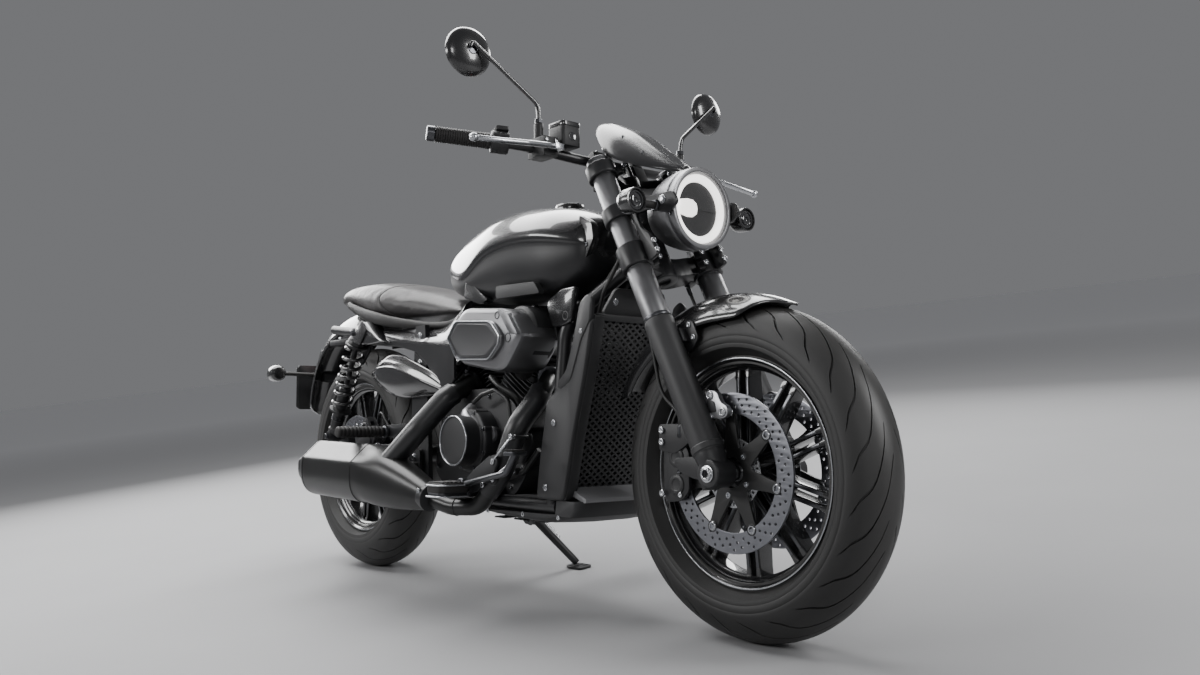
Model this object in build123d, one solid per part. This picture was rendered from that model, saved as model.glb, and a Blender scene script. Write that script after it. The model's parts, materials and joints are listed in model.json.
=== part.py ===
from build123d import *
import math
import os

# Mid-size V-twin cruiser motorcycle, parked on its side stand.
#
# The machine is modelled upright: +X forward, +Y to its left, +Z up, origin on the ground under the
# rear axle. At the end it leans to the left onto its stand and is centred over the ground.

# ------------------------------------------------------------------ driving dimensions (mm, degrees)
wheelbase = 1500
rake = 27.3
fork_offset = 35
park_lean = 8
steering_lock = 33
stand_travel = 95

front_tyre_radius = 320
front_tyre_width = 133
rear_tyre_radius = 323
rear_tyre_width = 148
bead_radius = 206
rim_flange_radius = 218.5
front_rim_width = 86
rear_rim_width = 100
rim_flange = 5
rim_well = 10
tyre_shoulder = 105
spoke_pairs = 10
spoke_thickness = 12
spoke_spacing = 12
spoke_half = 24
hub_radius = 40
front_hub_half = 57
rear_hub_half = 60

axle_radius = 10
axle_bore_radius = 8
front_disc_radius = 150
front_disc_band = 60
rear_disc_radius = 120
rear_disc_band = 52
disc_thickness = 5
disc_stand_off = 4.5
carrier_arms = 7
pulley_width = 18
pulley_radius = 105
drive_pulley_radius = 36
belt_thickness = 4

stanchion_radius = 21.5
fork_tube_radius = 25
fork_slider_radius = 27
fork_guard_radius = 30.5
stem_radius = 14
lower_clamp_at = 458
lower_clamp_height = 52
upper_clamp_at = 690
upper_clamp_height = 32
bar_radius = 11
bar_half_width = 415
bar_rise = 28

crank_behind_head = 513
crank_below_head = 381
case_half_width = 105
clutch_cover_radius = 60
cylinder_tilt = 33
cylinder_half_width = 78
frame_tube_radius = 16
swingarm_pivot_behind_crank = 272
swingarm_height = 52
muffler_radius = 66
header_radius = 22

fit = 0.05          # running fit, all round
seat_gap = 0.3      # between pieces that seat on each other
wheel_gap = 6       # between a turning wheel and what stands beside it

# ------------------------------------------------------------------ frames of reference
sin_rake = math.sin(math.radians(rake))
cos_rake = math.cos(math.radians(rake))
front_axle = Vector(wheelbase, 0, front_tyre_radius)
rear_axle = Vector(0, 0, rear_tyre_radius)
steer_up = Vector(-sin_rake, 0, cos_rake)
steer_ahead = Vector(cos_rake, 0, sin_rake)

rim_half = front_rim_width / 2
fork_y = front_tyre_width / 2 + wheel_gap + fork_guard_radius
head_low = lower_clamp_at + lower_clamp_height + seat_gap
head_high = upper_clamp_at - seat_gap


def fork_point(u, y, t):
    """A point from the front axle: u ahead of the fork legs, y to the left, t up along them."""
    return front_axle + steer_ahead * u + Vector(0, y, 0) + steer_up * t


stem_low = fork_point(-fork_offset, 0, head_low)
crank = Vector(stem_low.X - crank_behind_head, 0, stem_low.Z - crank_below_head)


def mid_point(x, y, z):
    """A point from the crank's centre."""
    return Vector(crank.X + x, y, crank.Z + z)


def rear_point(x, y, z):
    """A point from the rear axle."""
    return rear_axle + Vector(x, y, z)


# ------------------------------------------------------------------ shared shapes
def rod(start, end, radius):
    """A round bar between two points."""
    along = end - start
    return extrude(Plane(origin=start, z_dir=along) * Circle(radius), amount=along.length)


def pipe(start, end, outer, inner):
    """A tube between two points."""
    along = end - start
    ring = Circle(outer) - Circle(inner)
    return extrude(Plane(origin=start, z_dir=along) * ring, amount=along.length)


def bent_rod(points, radius, bends):
    """A round bar along straight runs joined by tangent arcs."""
    path = FilletPolyline(*points, radius=bends)
    start = Plane(origin=path @ 0, z_dir=path % 0)
    return sweep(start * Circle(radius), path=path)


def plate(points, y_from, y_to):
    """A flat piece with an outline of 3-D points, pushed out along Y between two widths."""
    low, high = sorted((y_from, y_to))
    outline = [Vector(point.X, low, point.Z) for point in points]
    face = Face(Wire.make_polygon(outline, close=True))
    return extrude(face, amount=high - low, dir=(0, 1, 0))


def mid_plate(outline, y_from, y_to):
    """A flat piece outlined by (x, z) points from the crank's centre."""
    return plate([mid_point(x, 0, z) for x, z in outline], y_from, y_to)


def spun(centre, outline, turn=360, start=0):
    """An outline of (radius, y) points, spun about the Y axis through centre, up from +X."""
    wire = Wire.make_polygon([Vector(radius, y, 0) for radius, y in outline], close=True)
    solid = revolve(Face(wire), Axis((0, 0, 0), (0, -1, 0)), turn)
    return Pos(*centre) * Rot(0, -start, 0) * solid


def drum(centre, radius, y_from, y_to, bore=0):
    """A disc or ring about the Y axis through centre."""
    ring = Circle(radius) - Circle(bore) if bore else Circle(radius)
    low = Vector(centre.X, min(y_from, y_to), centre.Z)
    face = Plane(origin=low, x_dir=(1, 0, 0), z_dir=(0, 1, 0)) * ring
    return extrude(face, amount=abs(y_to - y_from))


def block(low, high):
    """A box between two corners."""
    size = high - low
    middle = (high + low) * 0.5
    return Pos(*middle) * Box(abs(size.X), abs(size.Y), abs(size.Z))


def lofted(place, stations):
    """A rounded body through stations of (x, half width, top, bottom, corner)."""
    sections = []
    for x, half_width, top, bottom, corner in stations:
        middle = place(x, 0, (top + bottom) / 2)
        plane = Plane(origin=middle, x_dir=(0, 1, 0), z_dir=(1, 0, 0))
        sections.append(plane * RectangleRounded(2 * half_width, top - bottom, corner))
    return loft(sections, ruled=True)


def arch(centre, crest, section_radius, thickness, spread, start, end):
    """A mudguard: an arched strip about a wheel, crest its outer radius."""
    hub = crest - section_radius

    def on_arc(radius, angle):
        return (hub + radius * math.cos(math.radians(angle)), radius * math.sin(math.radians(angle)))

    inner_radius = section_radius - thickness
    outer = ThreePointArc(on_arc(section_radius, -spread), (crest, 0), on_arc(section_radius, spread))
    inner_crest = (crest - thickness, 0)
    inner = ThreePointArc(on_arc(inner_radius, -spread), inner_crest, on_arc(inner_radius, spread))
    sides = [Line(outer @ 0, inner @ 0), Line(outer @ 1, inner @ 1)]
    face = make_face([outer, inner, *sides])
    solid = revolve(face, Axis((0, 0, 0), (0, -1, 0)), end - start)
    return Pos(*centre) * Rot(0, -start, 0) * solid


# ------------------------------------------------------------------ wheels
def tyre(centre, radius, width, rim_width):
    """A round-crowned tyre whose beads sit inside the rim's flanges."""
    crown = width / 2
    hub = radius - crown
    bead = rim_width / 2 - rim_flange
    turn = math.radians(tyre_shoulder)
    shoulder = Vector(hub + crown * math.cos(turn), crown * math.sin(turn))
    lip = rim_flange_radius + 3
    arc = ThreePointArc((shoulder.X, -shoulder.Y), (radius, 0), (shoulder.X, shoulder.Y))
    base = bead_radius + seat_gap
    foot = Polyline((shoulder.X, shoulder.Y), (lip, bead), (base, bead), (base, -bead), (lip, -bead),
                    (shoulder.X, -shoulder.Y))
    face = make_face([arc, foot])
    return Pos(*centre) * revolve(face, Axis((0, 0, 0), (0, 1, 0)), 360)


def rim(centre, rim_width, hub_half, hub_radius):
    """A cast rim with a hub and pairs of straight spokes."""
    half = rim_width / 2
    bead = half - rim_flange + seat_gap
    well = bead_radius - rim_well
    barrel = spun(
        centre,
        [(well, -half), (well, half), (rim_flange_radius, half), (rim_flange_radius, bead),
         (bead_radius, bead), (bead_radius, -bead), (rim_flange_radius, -bead), (rim_flange_radius, -half)],
    )
    wheel = barrel + drum(centre, hub_radius, -hub_half, hub_half)
    root = 3
    length = well - hub_radius + 2 * root
    for pair in range(spoke_pairs):
        turned = Pos(*centre) * Rot(0, pair * 360 / spoke_pairs + 15, 0)
        for side in (-1, 1):
            middle = Pos(hub_radius - root + length / 2, 0, side * spoke_spacing)
            wheel += turned * middle * Box(length, 2 * spoke_half, spoke_thickness)
    return wheel - drum(centre, axle_radius + fit, -hub_half - 1, hub_half + 1)


front_disc_at = front_hub_half + disc_stand_off
rear_disc_at = rear_hub_half + disc_stand_off
pulley_from = rear_tyre_width / 2 + wheel_gap + 2


def disc_carrier(centre, side, hub_end, reach):
    """The star of arms that holds a floating brake disc."""
    star = drum(centre, hub_radius, side * hub_end, side * (hub_end + disc_stand_off), axle_radius + 8)
    middle = side * (hub_end + disc_stand_off / 2)
    for arm in range(carrier_arms):
        finger = Pos(reach / 2 + 15, middle, 0) * Box(reach - 30, disc_stand_off, 16)
        star += Pos(*centre) * Rot(0, arm * 360 / carrier_arms + 11, 0) * finger
    return star


def brake_disc(centre, side, radius, band, at):
    """A flat brake disc."""
    return drum(centre, radius, side * at, side * (at + disc_thickness), radius - band)


def front_wheel():
    nodes = {}
    nodes["front_tyre"] = [tyre(front_axle, front_tyre_radius, front_tyre_width, front_rim_width)]
    nodes["front_rim"] = [rim(front_axle, front_rim_width, front_hub_half, hub_radius)]
    reach = front_disc_radius - front_disc_band + 2
    nodes["front_discs"] = []
    for side in (-1, 1):
        nodes["front_discs"].append(disc_carrier(front_axle, side, front_hub_half, reach))
        disc = brake_disc(front_axle, side, front_disc_radius, front_disc_band, front_disc_at)
        nodes["front_discs"].append(disc)
    return nodes


def rear_wheel():
    nodes = {}
    nodes["rear_tyre"] = [tyre(rear_axle, rear_tyre_radius, rear_tyre_width, rear_rim_width)]
    nodes["rear_rim"] = [rim(rear_axle, rear_rim_width, rear_hub_half, hub_radius)]
    nodes["rear_disc"] = [
        disc_carrier(rear_axle, -1, rear_hub_half, rear_disc_radius - rear_disc_band + 2),
        brake_disc(rear_axle, -1, rear_disc_radius, rear_disc_band, rear_disc_at),
    ]
    toothed_wall = 12
    recess = 5
    outer = pulley_from + pulley_width
    hub = drum(rear_axle, hub_radius, rear_hub_half, outer, axle_radius + fit)
    web_radius = pulley_radius - toothed_wall + 4
    web = drum(rear_axle, web_radius, pulley_from + recess, outer - recess, hub_radius - 2)
    toothed = drum(rear_axle, pulley_radius, pulley_from, outer, pulley_radius - toothed_wall)
    nodes["rear_pulley"] = [hub + web + toothed]
    return nodes


# ------------------------------------------------------------------ steering
foot_half_width = 27
clamp_step = 4
clamp_wall = 8
stem_boss_radius = 30
caliper_inner = 45
caliper_outer = 84
caliper_back = -168
caliper_front = -94
caliper_half_height = 66
hose_radius = 4
hose_y = front_tyre_width / 2 + wheel_gap + 2 * hose_radius
hose_bends = [150, 300, 120, 60]


def front_end_forks():
    """The legs: bare tubes above, a slotted guard over each lower half, and the feet."""
    nodes = {}
    slider_low = 300
    guard_wall_gap = 0.8
    tube_top = upper_clamp_at + upper_clamp_height + 18
    guard_low, guard_high = 38, 332
    tubes, stanchions, guards, feet = [], [], [], []
    for side in (-1, 1):
        y = side * fork_y
        upper = rod(fork_point(0, y, lower_clamp_at), fork_point(0, y, tube_top), fork_tube_radius)
        lower = rod(fork_point(0, y, slider_low), fork_point(0, y, lower_clamp_at), fork_slider_radius)
        tubes.append(upper + lower)
        stanchions.append(rod(fork_point(0, y, guard_low), fork_point(0, y, slider_low), stanchion_radius))
        guard = pipe(fork_point(0, y, guard_low), fork_point(0, y, guard_high), fork_guard_radius,
                     fork_slider_radius + guard_wall_gap)
        slot = fork_box((-60, -10), (y - 14, y + 14), (guard_low + 60, guard_high - 70))
        foot = fork_box((-24, 24), (y - foot_half_width, y + foot_half_width), (-26, guard_low))
        lug = block(front_axle + Vector(-120, side * caliper_outer, -16),
                    front_axle + Vector(-10, side * (caliper_outer + 14), 22))
        feet.append(foot + lug - drum(front_axle, axle_radius + fit, y - 60, y + 60))
        guards.append(guard - slot)
    nodes["fork_tubes"] = tubes + stanchions
    nodes["fork_guards"] = guards + feet
    return nodes


def fork_box(across, wide, along):
    """A box in the fork's own directions: ahead, left and up along the legs."""
    middle = fork_point(sum(across) / 2, sum(wide) / 2, sum(along) / 2)
    plane = Plane(origin=middle, x_dir=steer_ahead, z_dir=steer_up)
    return plane.location * Box(across[1] - across[0], wide[1] - wide[0], along[1] - along[0])


def fork_plate(points, y_from, y_to):
    """A side plate outlined by (u, t) points of the fork's frame."""
    return plate([fork_point(u, 0, t) for u, t in points], y_from, y_to)


def clamps():
    """The two clamps that hold the legs; the lower one carries the steering stem."""
    ring_radius = fork_tube_radius + clamp_wall
    nodes = {}
    for name, low, height, bored in (("lower_clamp", lower_clamp_at, lower_clamp_height, False),
                                     ("upper_clamp", upper_clamp_at, upper_clamp_height, True)):
        high = low + height
        body = fork_box((-fork_offset - 26, 6), (-fork_y, fork_y), (low + clamp_step, high - clamp_step))
        body += rod(fork_point(-fork_offset, 0, low), fork_point(-fork_offset, 0, high), stem_boss_radius)
        for side in (-1, 1):
            body += rod(fork_point(0, side * fork_y, low), fork_point(0, side * fork_y, high), ring_radius)
        for side in (-1, 1):
            y = side * fork_y
            body -= rod(fork_point(0, y, low - 1), fork_point(0, y, high + 1), fork_tube_radius + fit)
        if bored:
            below, above = fork_point(-fork_offset, 0, low - 1), fork_point(-fork_offset, 0, high + 1)
            body -= rod(below, above, stem_radius + fit)
        nodes[name] = [body]
    stem_top = upper_clamp_at + upper_clamp_height + 6
    nodes["lower_clamp"][0] += rod(fork_point(-fork_offset, 0, head_low - 10),
                                   fork_point(-fork_offset, 0, stem_top), stem_radius)
    return nodes


def front_axle_set():
    """The hollow axle and the spacers between hub and fork feet."""
    end = fork_y + foot_half_width + 6
    axle = drum(front_axle, axle_radius, -end, end, axle_bore_radius)
    pieces = [axle]
    for side in (-1, 1):
        inner = side * (front_hub_half + seat_gap)
        outer = side * (fork_y - foot_half_width - seat_gap)
        pieces.append(drum(front_axle, axle_radius + 6, inner, outer, axle_radius + fit))
    return {"front_axle": pieces}


def front_calipers():
    pieces = []
    for side in (-1, 1):
        low = front_axle + Vector(caliper_back, side * caliper_inner, -caliper_half_height)
        high = front_axle + Vector(caliper_front, side * caliper_outer, caliper_half_height)
        body = block(low, high)
        slot = drum(front_axle, front_disc_radius + 4, side * (front_disc_at - 2),
                    side * (front_disc_at + disc_thickness + 2), 60)
        pieces.append(body - slot)
    return {"front_calipers": pieces}


def brake_hoses():
    """A hose from the lower clamp down behind each leg to the top of its caliper."""
    hoses = []
    for side in (-1, 1):
        y = side * hose_y
        inlet = front_axle + Vector(-118, y, caliper_half_height + seat_gap)
        route = [fork_point(-46, y, lower_clamp_at + clamp_step - seat_gap), fork_point(-46, y, 400),
                 fork_point(-62, y, 300), fork_point(-84, y, 215), inlet + Vector(0, 0, 46), inlet]
        hoses.append(bent_rod(route, hose_radius, hose_bends))
    return {"brake_hoses": hoses}


bar_u = -48
bar_t = upper_clamp_at + upper_clamp_height + 56
bar_centre = fork_point(bar_u, 0, bar_t)
bar_bends = [160, 60, 60, 160]
bar_pullback = -98
riser_y = 55
grip_length = 118
grip_radius = bar_radius + 6
pod_end = 158
pod_radius = bar_radius + 13
bar_bend_x, bar_bend_y, bar_bend_z = -16, 250, 14


def bar_place(x, y, z):
    """A point from the middle of the handlebar."""
    return bar_centre + Vector(x, y, z)


def bar_points():
    """The handlebar's corners, from its right end to its left."""
    right = [(bar_pullback, -bar_half_width, bar_rise), (bar_bend_x, -bar_bend_y, bar_bend_z), (8, -110, 0)]
    left = [(x, -y, z) for x, y, z in reversed(right)]
    return [bar_place(*point) for point in right + left]


def along_grip(side, distance):
    """A point on the bar's outer run, measured inward from its end."""
    end = bar_place(bar_pullback, side * bar_half_width, bar_rise)
    bend = bar_place(bar_bend_x, side * bar_bend_y, bar_bend_z)
    return end + (bend - end).normalized() * distance


def controls():
    nodes = {}
    nodes["handlebar"] = [bent_rod(bar_points(), bar_radius, bar_bends)]
    clear = bent_rod(bar_points(), bar_radius + seat_gap, bar_bends)
    risers, grips, pods, levers, clamps_on_bar, mirrors, faces = [], [], [], [], [], [], []
    clamp_top = upper_clamp_at + upper_clamp_height - clamp_step
    for side in (-1, 1):
        middle = side * riser_y
        riser = fork_box((bar_u - 19, bar_u + 19), (middle - 16, middle + 16), (clamp_top, bar_t + 22))
        risers.append(riser - clear)
        bore = bar_radius + seat_gap
        grips.append(pipe(along_grip(side, -14), along_grip(side, grip_length), grip_radius, bore))
        pods.append(pipe(along_grip(side, grip_length + 1), along_grip(side, pod_end), pod_radius, bore))
        clamp = block(bar_place(-22, side * 190, -12), bar_place(34, side * 226, 34))
        clamp += rod(bar_place(-5, side * 211, 30), bar_place(-5, side * 211, 66), 10)
        clamps_on_bar.append(clamp - clear)
        pivot = bar_place(44, side * 200, 6)
        bend = bar_place(62, side * 290, -4)
        ball = bar_place(51, side * 412, -11)
        lever = rod(pivot, bend, 6) + rod(bend, ball, 5) + Pos(*bend) * Sphere(6) + Pos(*ball) * Sphere(9)
        lever += block(pivot - Vector(10, 10, 8), pivot + Vector(10, 10, 8))
        levers.append(lever)
        foot = bar_place(-5, side * 211, 66.9)
        knee = bar_place(-2, side * 215, 105)
        centre = bar_place(-36, side * 358, 205)
        facing = Vector(0.99, side * 0.07, 0.02).normalized()
        arm = rod(foot, knee, 6) + Pos(*knee) * Sphere(6) + rod(knee, centre - facing * 6, 5)
        plane = Plane(origin=centre, z_dir=facing)
        cup = plane.location * Pos(0, 0, -9) * Cylinder(mirror_radius, 16)
        mirrors.append(arm + cup)
        glass = plane.location * Pos(0, 0, -19) * Cylinder(mirror_radius - 3, 3)
        faces.append(glass)
    nodes["bar_risers"] = risers
    nodes["grips"] = grips
    reservoir = block(bar_place(-15, -180, bar_radius + seat_gap + 6), bar_place(40, -130, 72))
    nodes["control_pods"] = pods + clamps_on_bar + [reservoir - clear]
    nodes["levers"] = levers
    nodes["mirrors"] = mirrors + faces
    return nodes


mirror_radius = 53
lamp_radius = 85
lamp_u = 133.4
lamp_t = 530.9
lamp_front = fork_point(lamp_u, 0, lamp_t)
lamp_depth = 55
signal_radius = 26
dial_u = -14
arm_inner = lamp_radius + seat_gap


def front_lamps():
    nodes = {}
    back = lamp_front - Vector(lamp_depth, 0, 0)
    shell = rod(back, lamp_front, lamp_radius)
    tail = Plane(origin=back, z_dir=(-1, 0, 0))
    shell += tail.location * Pos(0, 0, 32) * Cone(lamp_radius, 45, 64)
    recess = rod(lamp_front - Vector(14, 0, 0), lamp_front + Vector(1, 0, 0), lamp_radius - 8)
    lens_start = lamp_front - Vector(14 - seat_gap, 0, 0)
    lens = rod(lens_start, lamp_front - Vector(2, 0, 0), lamp_radius - 8 - seat_gap)
    nodes["headlight"] = [shell - recess, lens]
    brackets, signals = [], []
    for side in (-1, 1):
        y = side * fork_y
        ring = rod(fork_point(0, y, 574), fork_point(0, y, 606), fork_tube_radius + 8)
        low, high = sorted((side * arm_inner, side * (arm_inner + 8)))
        arm = [(22, 576), (22, 604), (100, 574), (150, 546), (150, 520), (120, 515)]
        ring += fork_plate(arm, low, high)
        low, high = sorted((side * (fork_y - 9), side * (fork_y + 1)))
        foot_u = fork_tube_radius + 8 + seat_gap
        ring += fork_plate([(foot_u, 455), (60, 455), (60, 505), (46, 530), (46, 590), (20, 590), (20, 576),
                            (foot_u, 560)], low, high)
        hole = rod(fork_point(0, y, 500), fork_point(0, y, 620), fork_tube_radius + seat_gap)
        brackets.append(ring - hole)
        middle = lamp_front + Vector(-42, side * 161, 0)
        stalk_from = lamp_front + Vector(-42, side * (arm_inner + 8 + seat_gap), 0)
        signal = rod(middle - Vector(22, 0, 0), middle + Vector(18, 0, 0), signal_radius)
        signals.append(signal + rod(stalk_from, middle, 8))
    nodes["lamp_brackets"] = brackets
    nodes["front_signals"] = signals
    dial_foot = fork_point(dial_u, 0, upper_clamp_at + upper_clamp_height)
    dial_low = fork_point(dial_u, 0, bar_t + 24)
    dial = rod(dial_low, fork_point(dial_u, 0, bar_t + 46), 38) + rod(dial_foot, dial_low, 6)
    nodes["dial"] = [dial]
    return nodes


def flyscreen():
    """A small arched screen over the headlight: how far ahead of the clamps' rings, t, half width, fall."""
    stations = ((104, 631, 66, 22), (59, 726, 100, 50), (25, 796, 94, 48), (-39, 878, 45, 12))
    beyond = (-103, 960)
    skin = 4
    sections = []
    rings_front = fork_tube_radius + clamp_wall
    following = [(ahead, t) for ahead, t, half, fall in stations[1:]] + [beyond]
    for (ahead, t, half, fall), (next_ahead, next_t) in zip(stations, following):
        u, next_u = rings_front + ahead, rings_front + next_ahead
        outward = steer_ahead * (next_t - t) - steer_up * (next_u - u)
        outward = outward.normalized()
        crest = fork_point(u, 0, t)
        outer = ThreePointArc(crest - outward * fall + Vector(0, half, 0), crest,
                              crest - outward * fall - Vector(0, half, 0))
        drop = outward * skin
        inner = ThreePointArc((outer @ 0) - drop, crest - drop, (outer @ 1) - drop)
        sections.append(make_face([outer, inner, Line(outer @ 0, inner @ 0), Line(outer @ 1, inner @ 1)]))
    screen = loft(sections, ruled=True)
    foot = lamp_front + Vector(-48, 0, lamp_radius + seat_gap)
    screen += rod(foot, foot + Vector(0, 0, 12), 8)
    return {"flyscreen": [screen]}


fender_skin = 3
fender_section = front_tyre_width / 2 + wheel_gap + fender_skin


def front_fender():
    centre = front_axle + Vector(-38, 0, 2)
    crest = front_tyre_radius + 26
    strip = arch(centre, crest, fender_section, fender_skin, 68, 65, 152)
    stays = []
    for side in (-1, 1):
        low, high = sorted((side * (fender_section * 0.93), side * (fork_y - 12)))
        stay = fork_box((8, 52), (low, high), (262, 306))
        guard = rod(fork_point(0, side * fork_y, 200), fork_point(0, side * fork_y, 400),
                    fork_guard_radius + seat_gap)
        stays.append(stay - guard)
    return {"front_fender": [strip, *stays]}


# ------------------------------------------------------------------ chassis
rear_fender_crest = 299
rear_fender_section = 92
rear_fender_spread = 75
rear_fender_side = rear_fender_section * math.sin(math.radians(rear_fender_spread))
pulley_outer = pulley_from + pulley_width
arm_from = pulley_outer + 5
arm_width = 22
arm_outer = arm_from + arm_width
plate_from = arm_outer + seat_gap
plate_outer = plate_from + 12
pivot_x = -swingarm_pivot_behind_crank
pivot_z = -36
rail_y = plate_from - frame_tube_radius - seat_gap
rail_low = -144
seat_rail_radius = 13
seat_rail_y = plate_from - seat_rail_radius - seat_gap
spine_z = 292
spine_radius = 25
cross_x = -257


def frame():
    nodes = {}
    head_from = fork_point(-fork_offset, 0, head_low)
    head_to = fork_point(-fork_offset, 0, head_high)
    head_radius = stem_radius + 16
    spine_points = [fork_point(-fork_offset, 0, head_low + 70), mid_point(330, 0, spine_z),
                    mid_point(cross_x + frame_tube_radius + seat_gap, 0, spine_z)]
    spine = rod(head_from, head_to, head_radius) + bent_rod(spine_points, spine_radius, [120])
    bore = rod(head_from - steer_up * 40, head_to + steer_up * 40, stem_radius + fit)
    nodes["backbone"] = [spine - bore]
    downs, lowers, plates, rails = [], [], [], []
    for side in (-1, 1):
        top = fork_point(-fork_offset - 30, side * 22, head_low + 22)
        knee = mid_point(314, side * 92, 262)
        foot = mid_point(293, side * rail_y, rail_low + 3)
        tube = bent_rod([top, knee, foot], frame_tube_radius, [90])
        rail_front = mid_point(293 + 20, side * rail_y, rail_low)
        rail_back = mid_point(-222, side * rail_y, rail_low)
        downs.append(tube - rod(head_from, head_to, head_radius + fit)
                     - rod(rail_front, rail_back, frame_tube_radius + fit))
        lowers.append(rod(rail_front, rail_back, frame_tube_radius))
        low, high = sorted((side * plate_from, side * plate_outer))
        outline = ((-300, -60), (-236, -160), (-190, -160), (-196, 60), (-214, 296), (-262, 296),
                   (-280, 40))
        cheek = mid_plate(outline, low, high)
        plates.append(cheek - drum(mid_point(pivot_x, 0, pivot_z), axle_radius + fit, low - 1, high + 1))
        rail = bent_rod([mid_point(-228, side * seat_rail_y, 278), rear_point(180, side * seat_rail_y, 349),
                         rear_point(-64, side * seat_rail_y, 379)], seat_rail_radius, [300])
        boss_from = rear_point(-56, side * (rear_fender_side + seat_gap), 378)
        rails.append(rail + rod(boss_from, rear_point(-56, side * seat_rail_y, 378), 8))
    nodes["down_tubes"] = downs
    nodes["lower_rails"] = lowers
    nodes["pivot_plates"] = plates
    cross_end = seat_rail_y - seat_rail_radius
    cross = rod(mid_point(cross_x, -cross_end, 276), mid_point(cross_x, cross_end, 276), frame_tube_radius)
    nodes["seat_rails"] = rails + [cross]
    return nodes


def tilted_block(angle, from_distance, to_distance, half_width, half_depth):
    """A block standing out from the crank, tilted ahead by an angle."""
    middle = (from_distance + to_distance) / 2
    size = Box(2 * half_width, 2 * half_depth, to_distance - from_distance)
    return Pos(*crank) * Rot(0, angle, 0) * Pos(0, 0, middle) * size


def engine_case():
    outline = ((-217, -76), (-162, -126), (138, -126), (183, -76), (183, 24), (128, 94), (38, 124),
               (-82, 124), (-182, 64))
    case = mid_plate(outline, -case_half_width, case_half_width)
    pocket = block(mid_point(-240, pulley_from - 6, -100), mid_point(-134, case_half_width + 1, 80))
    return case - pocket


cleaner_reach = 198
drive_x = -187
drive_z = -20


def engine():
    nodes = {}
    case = engine_case()
    nodes["engine_case"] = [case]
    cylinders = []
    for angle in (cylinder_tilt, -cylinder_tilt):
        barrel = tilted_block(angle, 90, 200, 60, cylinder_half_width - 6)
        head = tilted_block(angle, 200, 252, 68, cylinder_half_width)
        cover = tilted_block(angle, 252, 268, 54, cylinder_half_width - 12)
        cylinders.append(barrel + head + cover - case)
    nodes["cylinders"] = cylinders
    cover = drum(crank, clutch_cover_radius + 16, -case_half_width, -case_half_width - 42)
    cover += drum(crank, clutch_cover_radius, -case_half_width - 42, -case_half_width - 85)
    nodes["clutch_cover"] = [cover]
    nodes["generator_cover"] = [drum(crank, clutch_cover_radius + 8, case_half_width, case_half_width + 44)]
    drive_centre = mid_point(drive_x, 0, drive_z)
    shaft = drum(drive_centre, 12, pulley_from - 6, pulley_outer + 4)
    pulley = shaft + drum(drive_centre, drive_pulley_radius, pulley_from, pulley_outer)
    nodes["drive_belt"] = [pulley, belt_outline(seat_gap + belt_thickness) - belt_outline(seat_gap)]
    outline = ((13, 242), (50, 292), (133, 307), (213, 299), (286, 236), (233, 160), (202, 155), (72, 180))
    cleaner = mid_plate(outline, -cleaner_reach, -cylinder_half_width)
    outline = ((19, 242), (58, 277), (203, 265), (235, 232), (188, 179), (72, 185))
    cleaner += mid_plate(outline, -cleaner_reach - 14, -cleaner_reach)
    nodes["air_cleaner"] = [cleaner]
    return nodes


def belt_outline(extra):
    """The face inside a belt round both pulleys, grown by extra."""
    centre_a = rear_axle
    centre_b = mid_point(drive_x, 0, drive_z)
    big = pulley_radius + extra
    small = drive_pulley_radius + extra
    span = centre_b - centre_a
    turn = math.acos((big - small) / span.length)
    heading = math.atan2(span.Z, span.X)
    corners = []
    for centre, radius, sign in ((centre_a, big, 1), (centre_b, small, 1), (centre_b, small, -1),
                                 (centre_a, big, -1)):
        angle = heading + sign * turn
        corners.append(centre + Vector(math.cos(angle), 0, math.sin(angle)) * radius)
    low, high = pulley_from + 0.5, pulley_outer - 0.5
    return (plate(corners, low, high) + drum(centre_a, big, low, high)) + drum(centre_b, small, low, high)


def cooling():
    """The radiator between its two wings, and the pan under the engine."""
    nodes = {}
    core_half = 112
    pan_half_width = rail_y + frame_tube_radius + 2
    corners = ((418, 264), (450, 264), (343, -114), (311, -114))
    nodes["radiator"] = [mid_plate(corners, -core_half, core_half)]
    pan_top = -128
    low = pan_top + seat_gap
    outline = ((456, 262), (398, 60), (352, low), (262, low), (280, -40), (302, 25), (334, 104),
               (370, 131), (386, 172), (426, 262))
    lip = ((456, 262), (398, 60), (352, low), (320, low), (366, 60), (424, 262))
    wings = []
    for side in (-1, 1):
        inner = core_half + seat_gap
        outer = rail_y + frame_tube_radius + seat_gap
        wing = mid_plate(outline, side * outer, side * (outer + 13))
        wings.append(wing + mid_plate(lip, side * inner, side * outer))
    nodes["radiator_shroud"] = wings
    outline = ((403, pan_top), (380, -176), (209, -194), (-6, -206), (-6, -161), (322, -161),
               (322, pan_top))
    nodes["belly_pan"] = [mid_plate(outline, -pan_half_width, pan_half_width)]
    return nodes


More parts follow.
